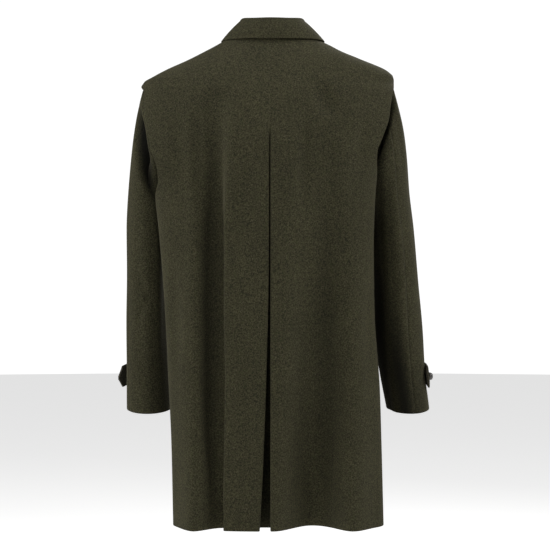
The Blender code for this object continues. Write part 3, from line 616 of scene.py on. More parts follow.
def fold_depth(x, z, face):
    """How far the large folds push the panel inwards, and how far they roll to the right."""
    depth = np.zeros(np.broadcast(x, z).shape)
    rolled = np.zeros_like(depth)
    for fold in FOLDS:
        if fold.face != face:
            continue
        down = np.clip((fold.top_z - z) / (fold.top_z - HEM_Z), 0.0, 1.0)
        centre = fold.x_top + (fold.x_hem - fold.x_top) * down
        right_flank = fold.right_flank + fold.soft * (1.0 - ease(down, 0.0, FOLD_SET_END))
        flank = np.where(x < centre, fold.left_flank, right_flank)
        reach = np.clip(np.abs(x - centre) / flank, 0.0, 1.0)
        pushed = fold.depth * down**fold.growth * np.cos(reach * math.pi / 2.0) ** 2
        depth = depth + pushed
        rolled = rolled + fold.roll * pushed * ease(down, 0.0, FOLD_SET_END)
    return depth, rolled


def body_points(turn, z, face):
    """Points of the body cloth, half way through its thickness."""
    turn, z = np.broadcast_arrays(turn, z)
    across = np.abs(np.sin(turn)) ** (2.0 / BODY_ROUNDNESS)
    deep = np.abs(np.cos(turn)) ** (2.0 / BODY_ROUNDNESS)
    x = np.sign(turn) * across * half_width_at(turn, z)
    y = Y_SIDE(z) + (Y_FACE[face](z) - Y_SIDE(z)) * deep
    depth, rolled = fold_depth(x, z, face)
    y = y - OUTWARD_Y[face] * depth * ease(deep, FOLD_FADE_START, FOLD_FADE_END)
    return np.stack([x + rolled, y, z], axis=-1)


def neck_half_width(side):
    """How far the neck seam reaches to a side."""
    return float(HALF_WIDTH[side](NECK_SIDE_Z))


def neck_z(x, face):
    """Height of the neck seam at x."""
    side = np.where(np.asarray(x) < 0.0, neck_half_width(LEFT), neck_half_width(RIGHT))
    share = np.clip(np.abs(x) / side, 0.0, 1.0)
    if face == "back":
        return NECK_BACK_Z + (NECK_SIDE_Z - NECK_BACK_Z) * share**2
    return NECK_SIDE_Z + (NECK_FRONT_Z - NECK_SIDE_Z) * (1.0 - share**2) ** NECK_FRONT_CURVE


def shoulder_z(x, side):
    """Height of the shoulder seam at x."""
    levels = np.linspace(NECK_SIDE_Z, SHOULDER_TIP_Z[side], SHOULDER_SAMPLES)
    return np.interp(np.abs(x), HALF_WIDTH[side](levels), levels)


def crease_depth(creases, across, z, part="depth"):
    """How far the listed creases sink into the cloth, or with part "shade" their painted shade."""
    total = np.zeros(np.broadcast(across, z).shape)
    for crease in creases:
        run_x = crease.x_end - crease.x_start
        run_z = crease.z_end - crease.z_start
        from_x = across - crease.x_start
        from_z = z - crease.z_start
        length = math.hypot(run_x, run_z)
        along = (from_x * run_x + from_z * run_z) / length**2
        aside = (from_x * run_z - from_z * run_x) / length
        fade = ease(along, 0.0, CREASE_FADE) * (1.0 - ease(along, 1.0 - CREASE_FADE, 1.0))
        spread = crease.width * (CREASE_END_WIDTH + (1.0 - CREASE_END_WIDTH) * fade)
        total = total + getattr(crease, part) * fade * np.clip(1.0 - (aside / spread) ** 2, 0.0, 1.0) ** 2
    return total * sizes().crease_strength


def uneven_depth(across, z):
    """Slow swells and hollows that no hanging cloth is free of."""
    depth = np.zeros(np.broadcast(across, z).shape)
    for wave in UNEVEN:
        side_on = np.sin(TURN * (across / wave.across_pitch + wave.shift))
        depth = depth + wave.height * side_on * np.sin(TURN * (z / wave.down_pitch + 2.0 * wave.shift))
    return depth * sizes().crease_strength


def column_shares(columns, first_x, neck_x, tip_x):
    """Even places of columns along a panel's top, with one just where the shoulder seam starts."""
    even = first_x + np.linspace(0.0, 1.0, columns) * (tip_x - first_x)
    nearest = int(np.argmin(np.abs(even - neck_x)))
    neck_share = (neck_x - first_x) / (tip_x - first_x)
    return np.interp(np.arange(columns), [0, nearest, columns - 1], [0.0, neck_share, 1.0]), nearest


def panel_grid(side, face, columns, start_x):
    """Grid, seam places and painted shade of a back or front; start_x gives its centre edge at a height."""
    tip_z = SHOULDER_TIP_Z[side]
    tip_x = side * float(HALF_WIDTH[side](tip_z))
    first_x = float(start_x(NECK_SIDE_Z))
    share, nearest = column_shares(columns, first_x, side * neck_half_width(side), tip_x)
    top_x = first_x + share * (tip_x - first_x)
    at_neck = np.arange(columns) <= nearest
    top_z = np.where(at_neck, neck_z(top_x, face), shoulder_z(top_x, side))
    run = np.linspace(0.0, 1.0, PANEL_ROWS)
    down = (1.0 - ROW_BUNCHING) * run + ROW_BUNCHING * run**2
    z = top_z[None, :] + (HEM_Z - top_z[None, :]) * down[:, None]

    reach = np.radians(REACH[face, side](z))
    reach = np.where(z >= tip_z, math.pi / 2.0, reach)
    edge_x = side * HALF_WIDTH[side](z) * np.sin(reach) ** (2.0 / BODY_ROUNDNESS)
    edge_x = np.where(z >= tip_z, tip_x, edge_x)
    centre_x = start_x(z)
    straight_turn = turn_at(centre_x + share * (edge_x - centre_x), z)
    centre_turn = turn_at(centre_x, z)
    arc_turn = centre_turn + share * (side * reach - centre_turn)
    weight = ease(-z, -LEVEL_COLUMNS_Z, -ARC_COLUMNS_Z)
    turn = (1.0 - weight) * straight_turn + weight * arc_turn
    turn[0, nearest:] = side * math.pi / 2.0
    points = body_points(turn, z, face)

    on_seam = np.zeros(z.shape, bool)
    on_seam[0, nearest:] = True
    on_seam[:, -1] |= reach[:, -1] > math.radians(SIDE_SEAM_DEG)
    points[on_seam, 1] = Y_SIDE(z[on_seam]) - OUTWARD_Y[face] * sizes().seam_bite

    x = points[..., 0]
    deep = np.abs(np.cos(turn)) ** (2.0 / BODY_ROUNDNESS)
    depth = crease_depth(BODY_CREASES[face], x, z) + uneven_depth(x, z)
    depth = depth * ease(deep, FOLD_FADE_START, FOLD_FADE_END)
    # Painted shade that the listed creases lay on the colour
    shade = crease_depth(BODY_CREASES[face], x, z, "shade")
    normals = seam_normals(points, on_seam, OUTWARD_Y[face])
    return points - normals * depth[..., None], on_seam, shade


def grid_normals(points):
    """Normals of a grid from the mean direction of its rows and of its columns."""

    def tangents(axis):
        step = unit(np.diff(points, axis=axis))
        first = np.take(step, [0], axis=axis)
        last = np.take(step, [-1], axis=axis)
        before = np.concatenate([first, step], axis=axis)
        after = np.concatenate([step, last], axis=axis)
        return unit(before + after)

    return unit(np.cross(tangents(1), tangents(0)))


def seam_normals(points, on_seam, outward_y):
    """Outward normals, kept level with the seam plane along the shoulder and side seams."""
    normals = grid_normals(points)
    middle = normals[normals.shape[0] // 2, normals.shape[1] // 2]
    if middle[1] * outward_y < 0.0:
        normals = -normals
    normals[on_seam, 1] = 0.0
    return unit(normals)


def run_lengths(points, axis):
    """Distance run along the cloth from the first line of a grid."""
    step = np.linalg.norm(np.diff(points, axis=axis), axis=-1)
    zero = np.zeros_like(np.take(step, [0], axis=axis))
    return np.concatenate([zero, np.cumsum(step, axis=axis)], axis=axis)


def rim_places(rows, columns):
    """Rows and columns of the places round the edge of a grid, in order."""
    rim = [(0, j) for j in range(columns)]
    rim += [(i, columns - 1) for i in range(1, rows)]
    rim += [(rows - 1, j) for j in range(columns - 2, -1, -1)]
    rim += [(i, 0) for i in range(rows - 2, 0, -1)]
    return tuple(np.array(rim).T)


def inward_steps(points):
    """Directions in the cloth that lead away from its edges; zero inside."""
    inward = np.zeros_like(points)
    inward[0] += unit(points[1] - points[0])
    inward[-1] += unit(points[-2] - points[-1])
    inward[:, 0] += unit(points[:, 1] - points[:, 0])
    inward[:, -1] += unit(points[:, -2] - points[:, -1])
    return unit(inward)


def add_object(name, data):
    """A new object in the scene."""
    made = bpy.data.objects.new(name, data)
    bpy.context.scene.collection.objects.link(made)
    return made


def new_piece(name, points, faces, finish, bake_map=None, metre_map=None, worn=None, hollow=None):
    """A smooth mesh object with the maps that its finish reads."""
    mesh = bpy.data.meshes.new(name)
    mesh.from_pydata(np.asarray(points).tolist(), [], np.asarray(faces).tolist())
    mesh.materials.append(finish)
    mesh.shade_smooth()
    for label, corners in (("OFBake", bake_map), ("metres", metre_map)):
        if corners is not None:
            layer = mesh.uv_layers.new(name=label)
            layer.uv.foreach_set("vector", np.asarray(corners, np.float32).ravel())
    # Values per point: nearness to the edges for wear, and painted shade that darkens the colour
    for label, values in (("edge_near", worn), ("hollow", hollow)):
        if values is not None:
            layer = mesh.attributes.new(label, "FLOAT", "POINT")
            layer.data.foreach_set("value", np.asarray(values, np.float32).ravel())
    return add_object(name, mesh)


def shell_points(middle, normals, half, lining, rim):
    """Points of the outer side of a shell, of its inner side and of its rounded rim."""
    inward = inward_steps(middle)
    base = middle + inward * half
    outer = base + normals * half
    inner = base - normals * (half + lining)[..., None]
    points = [outer.reshape(-1, 3), inner.reshape(-1, 3)]
    for angle in np.linspace(0.0, math.pi, RIM_POINTS + 2)[1:-1]:
        stand = (half + lining[rim] * (angle > math.pi / 2.0)) * math.cos(angle)
        points.append(base[rim] + normals[rim] * stand[:, None] - inward[rim] * half * math.sin(angle))
    return np.concatenate(points)


def grid_quads(place):
    """Corners of the quads of a grid of point numbers."""
    corners = [place[:-1, :-1], place[:-1, 1:], place[1:, 1:], place[1:, :-1]]
    return np.stack(corners, axis=-1).reshape(-1, 4)


def tube_quads(rings, sides):
    """Corners of the quads between closed rings of points."""
    place = np.arange(rings * sides).reshape(rings, sides)
    return grid_quads(np.concatenate([place, place[:, :1]], axis=1))


def shell_faces(place, rim):
    """Quads of the outer side of a shell, of its inner side and of its rim."""
    quads = grid_quads(place)
    count = len(rim[0])
    rings = [place[rim]]
    rings += [2 * place.size + k * count + np.arange(count) for k in range(RIM_POINTS)]
    rings.append(place[rim] + place.size)
    faces = [quads, quads[:, ::-1] + place.size]
    for near, far in zip(rings, rings[1:]):
        faces.append(np.stack([np.roll(near, -1), near, far, np.roll(far, -1)], axis=-1))
    return np.concatenate(faces)


def bake_corners(place, rim):
    """Corners in the bake map: the outer side, the inner side beside it, and the rim in strips above."""
    quads = grid_quads(place)
    share_v, share_u = [share / (size - 1) for share, size in zip(np.indices(place.shape), place.shape)]
    outer = np.stack([BAKE_MARGIN + BAKE_WIDTH * share_u, BAKE_MARGIN + BAKE_HEIGHT * share_v], axis=-1)
    outer = outer.reshape(-1, 2)
    corners = [outer[quads], outer[quads[:, ::-1]] + [BAKE_INNER_U, 0.0]]
    count = len(rim[0])
    step = np.arange(count) / count
    ahead = step + 1.0 / count
    for k in range(RIM_POINTS + 1):
        low = np.full(count, BAKE_RIM_V + BAKE_RIM_STEP * k)
        high = low + BAKE_RIM_STEP
        strip = [(ahead, low), (step, low), (step, high), (ahead, high)]
        corners.append(np.stack([np.stack(corner, axis=-1) for corner in strip], axis=1))
    return np.concatenate(corners)


def on_shell(values, rim):
    """Values of a grid given to both sides of its shell and to its rim."""
    flat = values.reshape(-1, *values.shape[2:])
    return np.concatenate([flat, flat] + [values[rim]] * RIM_POINTS)


def add_shell(name, middle, normals, thickness, finish, lining=None, shade=None):
    """A closed shell of cloth with rounded edges on both sides of a grid of points."""
    blank = np.zeros(middle.shape[:2])
    lining = blank if lining is None else lining
    # shade is painted shade, given to every point of the shell
    shade = blank if shade is None else shade
    place = np.arange(blank.size).reshape(blank.shape)
    rim = rim_places(*blank.shape)
    points = shell_points(middle, normals, 0.5 * thickness, lining, rim)
    faces = shell_faces(place, rim)
    bake = bake_corners(place, rim)
    run_u = run_lengths(middle, 1)
    run_v = run_lengths(middle, 0)
    metres = on_shell(np.stack([run_u, run_v], axis=-1), rim)
    aside = np.minimum(run_u, run_u[:, -1:] - run_u)
    edge = np.minimum(aside, np.minimum(run_v, run_v[-1:] - run_v))
    worn = on_shell(np.exp(-edge / WORN_REACH), rim)
    if np.mean(np.sum(grid_normals(middle) * normals, axis=-1)) < 0.0:
        faces, bake = faces[:, ::-1], bake[:, ::-1]
    return new_piece(name, points, faces, finish, bake, metres[faces], worn, on_shell(shade, rim))


def sew(name, starts, ends, radius, finish):
    """Stitches of thread, each a short rod thickest in its middle."""
    starts, ends = np.asarray(starts, float), np.asarray(ends, float)
    along = unit(ends - starts)
    helper = np.where(np.abs(along[:, 2:]) > STITCH_STEEP, [[1.0, 0.0, 0.0]], [UP])
    first = unit(np.cross(along, helper))
    second = np.cross(along, first)
    points = []
    for ring in STITCH_RINGS:
        centre = starts + (ends - starts) * ring.along
        for turn in np.arange(STITCH_SIDES) * TURN / STITCH_SIDES:
            points.append(centre + radius * ring.width * (math.cos(turn) * first + math.sin(turn) * second))
    points = np.stack(points, axis=1)
    count, each = points.shape[:2]
    faces = tube_quads(len(STITCH_RINGS), STITCH_SIDES)[None] + np.arange(count)[:, None, None] * each
    piece = new_piece(name, points.reshape(-1, 3), faces.reshape(-1, 4), finish)
    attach(piece, "root")
    return piece


def stitch_line(path, stitch):
    """Starts and ends of even stitches along a line of points."""
    path = np.asarray(path, float)
    run = run_lengths(path, 0)
    count = max(1, int(run[-1] / (stitch * (1.0 + STITCH_GAP))))
    at = np.linspace(0.0, run[-1], count + 1)
    ends = at[:-1] + (at[1:] - at[:-1]) / (1.0 + STITCH_GAP)

    def read(where):
        return np.stack([np.interp(where, run, path[:, axis]) for axis in range(3)], axis=-1)

    return read(at[:-1]), read(ends)


def settle(piece, node):
    """Let a piece stand for its solid."""
    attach(piece, "root")
    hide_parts(node)
    return piece


def hem_lining(points, reach):
    """Extra depth inside where the hem is turned up, let out towards both ends of a piece."""
    up = run_lengths(points, 0)
    up = up[-1:] - up
    aside = run_lengths(points, 1)
    aside = np.minimum(aside, aside[:, -1:] - aside)
    turned = 1.0 - ease(up, sizes().hem_turn - HEM_STEP, sizes().hem_turn + HEM_STEP)
    return HEM_DEPTH * sizes().cloth * turned * ease(aside, HEM_REACH_START * reach, reach)


def pleat_open(z):
    """0 in the sewn seam above the pleat, 1 where the pleat hangs free."""
    return ease(-z, -PLEAT_TOP_Z - PLEAT_FOLD_BLEND, -PLEAT_TOP_Z + PLEAT_FOLD_BLEND)


def fold_radius(z):
    """Radius of the centre back fold: tight in the seam above the pleat, open below."""
    return SEAM_FOLD_RADIUS + (PLEAT_FOLD_RADIUS - SEAM_FOLD_RADIUS) * pleat_open(z)


def pleat_edge(side):
    """Centre edge of a back half: the middle of the cloth where its pleat fold starts."""

    def edge(z):
        z = np.asarray(z, float)
        mouth = PLEAT_MOUTH(z) if side == LEFT else 0.0 * z
        apart = 0.5 * sizes().seam_gap * pleat_open(z) - sizes().back_seam_bite * (1.0 - pleat_open(z))
        return side * (mouth * pleat_open(z) + apart + 0.5 * sizes().cloth + fold_radius(z))

    return edge


def return_points(side, first):
    """The pleat fold and the cloth turned under it, from its far end to the panel's first column."""
    arc = np.linspace(math.pi, 0.0, FOLD_ARC_POINTS + 1)[:-1]
    level = first[:, 2]
    radius = fold_radius(level)[:, None]
    out = np.array([side, 0.0, 0.0])
    inwards = np.array([0.0, 1.0, 0.0])
    under = first + 2.0 * radius * inwards
    columns = []
    for share in np.linspace(1.0, 0.0, RETURN_POINTS + 1)[:-1]:
        aside = RETURN_WIDTH(level)[:, None] * share * out
        deeper = RETURN_DEPTH(level)[:, None] * share * inwards
        columns.append(under + aside + deeper)
    for angle in arc:
        round_fold = -radius * math.sin(angle) * out
        columns.append(first + round_fold + radius * (1.0 - math.cos(angle)) * inwards)
    return np.stack(columns, axis=1)


def front_edge(side):
    """Centre edge of a front, past the middle by the lap."""

    def edge(z):
        return 0.0 * np.asarray(z, float) - side * FRONT_LAP

    return edge


def front_seat(z):
    """Point and outward direction on the middle of the upper front at a height."""
    point = body_points(np.array(0.0), np.array(z), "front")
    lower = body_points(np.array(0.0), np.array(z - FRONT_SLOPE_STEP), "front")
    slope = (point[1] - lower[1]) / FRONT_SLOPE_STEP
    return point, unit(np.array([0.0, 1.0, -slope]))


def collar_edge(side, face, across, ahead, past_side):
    """Lower edge of the fall at a place round the neck, and the way the fall faces there."""
    width = COLLAR_EDGE_HALF_WIDTH[side]
    side_z = float(shoulder_z(width, side))
    if face == "back":
        x = width * across
        z = COLLAR_EDGE_BACK_Z + (side_z - COLLAR_EDGE_BACK_Z) * abs(across) ** COLLAR_EDGE_CURVE
        more = (COLLAR_BACK_STANDOFF - COLLAR_SIDE_STANDOFF) * ahead**2
        slope = across**2
    else:
        x = side * (width - (width - COLLAR_POINT_X) * past_side**COLLAR_POINT_X_CURVE)
        z = side_z + (COLLAR_POINT_Z - side_z) * past_side**COLLAR_POINT_Z_CURVE
        more = (COLLAR_FRONT_STANDOFF - COLLAR_SIDE_STANDOFF) * ease(past_side, 0.0, COLLAR_STANDOFF_END)
        slope = 1.0 - ease(past_side, 0.0, COLLAR_SLOPE_END)
    facing = np.array([across, ahead, 0.0]) * (1.0 - COLLAR_FACE_LESS * slope)
    off = unit(facing + UP * (COLLAR_UP_LEAST + COLLAR_UP_MORE * slope))
    return body_points(turn_at(x, z), np.array(z), face) + off * (COLLAR_SIDE_STANDOFF + more), off


def collar_section(turn):
    """Points of the collar at a place round the neck, from the neck seam to the edge of the fall."""
    side = LEFT if turn < 0.0 else RIGHT
    face = "back" if abs(turn) <= math.pi / 2.0 else "front"
    across, ahead = math.sin(turn), -math.cos(turn)
    past_side = (abs(turn) - math.pi / 2.0) / math.radians(COLLAR_END_DEG - 90.0)
    past_side = float(np.clip(past_side, 0.0, 1.0))

    x = neck_half_width(side) * across
    z = float(neck_z(x, face))
    lift = COLLAR_SEAM_LIFT + COLLAR_FRONT_LIFT * ease(past_side, COLLAR_LIFT_START, COLLAR_LIFT_END)
    seam = body_points(turn_at(x, z), np.array(z), face) + lift * UP

    depth = COLLAR_FOLD_FRONT_Y if ahead > 0.0 else -COLLAR_FOLD_BACK_Y
    drop = COLLAR_FOLD_FRONT_DROP * (0.5 * (1.0 + ahead)) ** COLLAR_DROP_CURVE
    fold_z = COLLAR_FOLD_Z + COLLAR_SIDE_RISE * abs(across) ** COLLAR_RISE_CURVE - drop
    fold = np.array([COLLAR_FOLD_HALF_WIDTH[side] * across, depth * ahead, fold_z])
    outward = np.array([across, ahead, 0.0])
    inside, outside = fold - COLLAR_FOLD_RADIUS * outward, fold + COLLAR_FOLD_RADIUS * outward
    edge, off = collar_edge(side, face, across, ahead, past_side)

    path = [seam + (inside - seam) * share for share in np.linspace(0.0, 1.0, COLLAR_STAND_POINTS)]
    for angle in np.linspace(math.pi, 0.0, COLLAR_ROLL_POINTS + 2)[1:-1]:
        path.append(fold + COLLAR_FOLD_RADIUS * (math.cos(angle) * outward + math.sin(angle) * UP))
    for share in np.linspace(0.0, 1.0, COLLAR_FALL_POINTS):
        path.append(outside + (edge - outside) * share + COLLAR_BULGE * math.sin(math.pi * share) * off)
    return np.array(path)


def collar_grid():
    """Rows run from the neck seam up the stand, over the fold and down the fall."""
    turns = np.radians(np.linspace(-COLLAR_END_DEG, COLLAR_END_DEG, COLLAR_COLUMNS))
    return np.stack([collar_section(turn) for turn in turns], axis=1)


def sleeve_points(side, station, angle):
    """Points of a sleeve, half way through its cloth: angle 0 outermost, 90 to the front."""
    read = {name: smooth_column(SLEEVES[side], name, "station")(station) for name in Ring._fields[1:]}
    across = np.sign(np.cos(angle)) * np.abs(np.cos(angle)) ** (2.0 / SLEEVE_ROUNDNESS)
    ahead = np.sign(np.sin(angle)) * np.abs(np.sin(angle)) ** (2.0 / SLEEVE_ROUNDNESS)
    x, z = [
        0.5 * (read[f"outer_{axis}"] + read[f"inner_{axis}"])
        + 0.5 * (read[f"outer_{axis}"] - read[f"inner_{axis}"]) * across
        for axis in "xz"
    ]
    narrow = 1.0 - read["cap"] * 0.5 * (1.0 + np.cos(angle))
    y = read["y_mid"] + read["half_depth"] * ahead * narrow
    z = z + read["front_lift"] * ahead
    front_y = body_points(turn_at(x, z), z, "front")[..., 1] - HEAD_TUCK
    at_head = 1.0 - ease(station, HEAD_FIT_START, HEAD_FIT_END)
    fitted = at_head * ease(np.sin(angle), 0.0, HEAD_FRONT_BLEND)
    y = y + fitted * np.maximum(front_y - y, 0.0)
    return np.stack([x, y, z], axis=-1)


def sleeve_crease_depth(side, angle, z):
    """Creases of a sleeve, kept off the strip under its strap, and the painted shade laid along them."""
    depth = np.zeros(np.broadcast(angle, z).shape)
    shade = np.zeros_like(depth)
    for crease in SLEEVE_CREASES[side]:
        middle = math.radians(0.5 * (crease.deg_start + crease.deg_end))
        across = wrapped(angle - middle) * SLEEVE_RADIUS
        half_run = 0.5 * math.radians(crease.deg_end - crease.deg_start) * SLEEVE_RADIUS
        laid = [Crease(-half_run, crease.z_start, half_run, *crease[3:])]
        depth = depth + crease_depth(laid, across, z)
        # Painted shade of the creases, no darker than the set darkest
        shade = np.clip(crease_depth(laid, across, z, "shade"), shade, PAINTED_SHADE_DARKEST)
    depth = depth + uneven_depth(np.sin(angle) * SLEEVE_RADIUS, z)
    high = TAB_HALF_HEIGHT + TAB_STILL_MARGIN
    level = 1.0 - ease(np.abs(z - TAB_MIDDLE_Z), TAB_HALF_HEIGHT, high)
    strap_middle = math.radians(SLEEVE_TWIST_DEG[side] + 0.5 * FRONT_SEAM_DEG)
    aside = np.abs(wrapped(angle - strap_middle))
    beside = 1.0 - ease(aside, math.radians(TAB_STILL_DEG), math.radians(TAB_STILL_END_DEG))
    return depth * (1.0 - level * beside), shade


def sleeve_grid(side, start_deg, end_deg):
    """Grid and normals of one cut piece of a sleeve, sewn at both long edges."""
    stations = np.linspace(SLEEVES[side][0].station, SLEEVES[side][-1].station, SLEEVE_RINGS)
    share = np.linspace(0.0, 1.0, SLEEVE_COLUMNS)
    share = share - SEAM_BUNCHING * np.sin(TURN * share) / TURN
    angles = np.radians(start_deg + (end_deg - start_deg) * share)
    step = angles[1] - angles[0]
    angles = np.concatenate([[angles[0] - step], angles, [angles[-1] + step]])
    grid = sleeve_points(side, stations[:, None], angles[None, :])
    centre = sleeve_points(side, stations[:, None], np.array([[0.0, math.pi]])).mean(axis=1, keepdims=True)
    normals = grid_normals(grid)
    flip = np.sign(np.mean(np.sum(normals * (grid - centre), axis=-1)))
    depth, shade = sleeve_crease_depth(side, angles[None, :], grid[..., 2])
    run = run_lengths(grid, 1) - run_lengths(grid, 1)[:, 1:2]
    seam = np.minimum(np.abs(run), np.abs(run[:, -2:-1] - run))
    depth = depth + SEAM_DIP * np.exp(-((seam / SEAM_DIP_REACH) ** 2))
    # Painted shade along the seam lines
    shade = np.maximum(shade, SEAM_SHADE * np.exp(-((seam / SEAM_SHADE_REACH) ** 2)))
    top = ease(stations, 0.0, HEAD_CREASE_FADE)[:, None]
    grid = grid - flip * normals * (depth * top)[..., None]
    normals = flip * grid_normals(grid)[:, 1:-1]
    along = unit(np.roll(grid, -1, axis=1) - grid)[:, 1:-1]
    grid = grid[:, 1:-1].copy()
    grid[:, 0] -= sizes().seam_bite * along[:, 0]
    grid[:, -1] += sizes().seam_bite * along[:, -2]
    return grid, normals, shade[:, 1:-1]


def station_at_z(side, z):
    """Place along a sleeve whose outermost point has a height."""
    levels = sorted((row.outer_z, row.station) for row in SLEEVES[side])
    return float(np.interp(z, *zip(*levels)))


def strap_grid(side):
    """Strap points from the front seam round the sleeve and on to the free point, with directions."""
    twist = math.radians(SLEEVE_TWIST_DEG[side])
    angles = np.linspace(math.radians(FRONT_SEAM_DEG) + twist - TAB_SEAM_CLEARANCE, twist, TAB_COLUMNS)
    shares = np.linspace(1.0, -1.0, TAB_ROWS)
    stations = [station_at_z(side, TAB_MIDDLE_Z + share * TAB_HALF_HEIGHT) for share in shares]
    rows = sleeve_points(side, np.array(stations)[:, None], angles[None, :])
    middle = rows[TAB_ROWS // 2]
    ahead = unit(np.gradient(middle, axis=0) * [1.0, 1.0, 0.0])
    out = unit(np.cross(ahead, rows[-1] - rows[0]))
    out = out * np.sign(np.sum(out * (middle - middle.mean(axis=0)), axis=-1).mean())
    rows = rows + out * (0.5 * sizes().cloth + 0.5 * sizes().strap_cloth + sizes().lap_gap)
    onward = unit(ahead[-1] - TAB_SAG[side] * UP)
    centre = rows[TAB_ROWS // 2, -1]
    straight = TAB_FREE_LENGTH[side] - TAB_POINT_LENGTH
    free = []
    for length in np.linspace(0.0, TAB_FREE_LENGTH[side], TAB_FREE_COLUMNS + 1)[1:]:
        narrowed = np.clip((length - straight) / TAB_POINT_LENGTH, 0.0, 1.0)
        height = 1.0 + (TAB_TIP_HALF_HEIGHT / TAB_HALF_HEIGHT - 1.0) * narrowed
        free.append(centre + (rows[:, -1] - centre) * height + onward * length)
    grid = np.concatenate([rows, np.stack(free, axis=1)], axis=1)
    facing = np.concatenate([out, np.repeat(out[-1:], TAB_FREE_COLUMNS, axis=0)])
    seat = centre + onward * TAB_BUTTON_PAST_BEND + out[-1] * (0.5 * sizes().strap_cloth + sizes().seam_gap)
    seat = seat - CUFF_BUTTON_DROP * UP
    button_facing = unit(out[-1] + CUFF_BUTTON_TILT * onward)
    return grid, np.repeat(facing[None], TAB_ROWS, axis=0), seat, button_facing


def knot_relief(out, turn):
    """Height of the moulded strips over a button's crown, as a share of its radius."""
    x = out * np.cos(turn) / KNOT_STRIP
    y = out * np.sin(turn) / KNOT_STRIP
    cell_x, cell_y = np.round(x), np.round(y)
    local_x, local_y = x - cell_x, y - cell_y
    over = np.mod(cell_x + cell_y, 2.0) < 0.5
    aside = np.where(over, local_y, local_x)
    along = np.where(over, local_x, local_y)
    strip = np.sqrt(np.clip(1.0 - (2.0 * aside) ** 2, 0.0, 1.0))
    return strip * (1.0 - KNOT_DIP * np.abs(2.0 * along) ** KNOT_DIP_CURVE)


def add_button(name, node, radius, seat, normal, finish):
    """A domed button, moulded like plaited strips, on a short shank."""
    along = np.linspace(0.0, 1.0, KNOT_RINGS)
    turns = np.arange(KNOT_SEGMENTS) * TURN / KNOT_SEGMENTS
    out = BUTTON_OUT(along)[:, None] + 0.0 * turns[None, :]
    up = BUTTON_UP(along)[:, None] + 0.0 * turns[None, :]
    crown = ease(along, CROWN_START, CROWN_FULL)[:, None]
    strips = knot_relief(out, turns[None, :] + math.radians(KNOT_TURN_DEG))
    sunk = KNOT_RELIEF * crown * (1.0 - strips)
    out = out * (1.0 - sunk)
    up = up - sunk * ease(along, CROWN_FULL, CROWN_LEVEL)[:, None]
    points = np.stack([out * np.cos(turns), out * np.sin(turns), up], axis=-1) * radius
    faces = tube_quads(KNOT_RINGS, KNOT_SEGMENTS)
    # The raised strips on the crown are worn paler and carry a painted highlight
    piece = new_piece(name, points.reshape(-1, 3), faces, finish, worn=(strips * crown).reshape(-1))
    piece.location = Vector(seat)
    piece.rotation_euler = Vector(normal).to_track_quat("Z", "Y").to_euler()
    return settle(piece, node)


def feed(node, inputs):
    """Give inputs of a node, by label or number, a plain value or that of another node's socket."""
    for label, value in inputs.items():
        if isinstance(value, bpy.types.NodeSocket):
            node.id_data.links.new(value, node.inputs[label])
        else:
            node.inputs[label].default_value = value


def add_node(tree, kind, inputs=None, **settings):
    """A new shader node with its settings and inputs."""
    node = tree.nodes.new(f"ShaderNode{kind}")
    for name, value in settings.items():
        setattr(node, name, value)
    feed(node, inputs or {})
    return node


def lay_out(tree):
    """Set the nodes of a tree in columns, from its end on the right to its sources on the left."""
    column = {node.name: 0 for node in tree.nodes}
    for _ in tree.nodes:
        for link in tree.links:
            source, target = link.from_node.name, link.to_node.name
            column[source] = max(column[source], column[target] + 1)
    filled = {}
    for node in tree.nodes:
        at = column[node.name]
        filled[at] = filled.get(at, 0) + 1
        node.location = (-NODE_ACROSS * at, -NODE_DOWN * filled[at])


def once(store, name):
    """Make a shared group or finish, and lay out its nodes, only if the file doesn't hold it yet."""

    def wrap(make):
        def get():
            found = getattr(bpy.data, store).get(name)
            if not found:
                found = make(name)
                lay_out(getattr(found, "node_tree", found))
            return found

        return get

    return wrap


def new_group(name, inputs, outputs):
    """An empty shader group with named sockets, and its input and output node."""
    group = bpy.data.node_groups.new(name, "ShaderNodeTree")
    for in_out, sockets in (("INPUT", inputs), ("OUTPUT", outputs)):
        for label, kind in sockets.items():
            group.interface.new_socket(label, in_out=in_out, socket_type=f"NodeSocket{kind}")
    return group, group.nodes.new("NodeGroupInput"), group.nodes.new("NodeGroupOutput")


def noise_mask(tree, vector, pattern):
    """A soft mask from noise, 0 under the pattern's low value and 1 over its high one."""
    shift = [pattern.shift * way for way in PATTERN_SHIFT_WAY]
    moved = {"Vector": vector, "Location": shift, "Scale": (1.0, 1.0, pattern.stretch)}
    place = add_node(tree, "Mapping", moved).outputs["Vector"]
    noise = add_node(tree, "TexNoise", {"Vector": place, "Scale": pattern.scale, "Detail": pattern.detail})
    limits = {"Value": noise.outputs["Fac"], "From Min": pattern.low, "From Max": pattern.high}
    return add_node(tree, "MapRange", limits, interpolation_type="SMOOTHSTEP").outputs["Result"]


def mixed(tree, mask, first, second, blend="MIX"):
    """Colour socket of two colours mixed by a mask; each may be a socket or a plain value."""
    inputs = {MIX_MASK: mask, MIX_FIRST: first, MIX_SECOND: second}
    return add_node(tree, "Mix", inputs, data_type="RGBA", blend_type=blend).outputs[MIX_RESULT]


def calculated(tree, operation, first, second=0.0):
    """Value socket of a sum, product or other step; each side may be a socket or a number."""
    return add_node(tree, "Math", {0: first, 1: second}, operation=operation).outputs[0]


def opaque(colour):
    """A colour with full cover."""
    return (*colour, 1.0)


def scaled(colour, share):
    """A colour made darker or paler."""
    return tuple(share * channel for channel in colour)


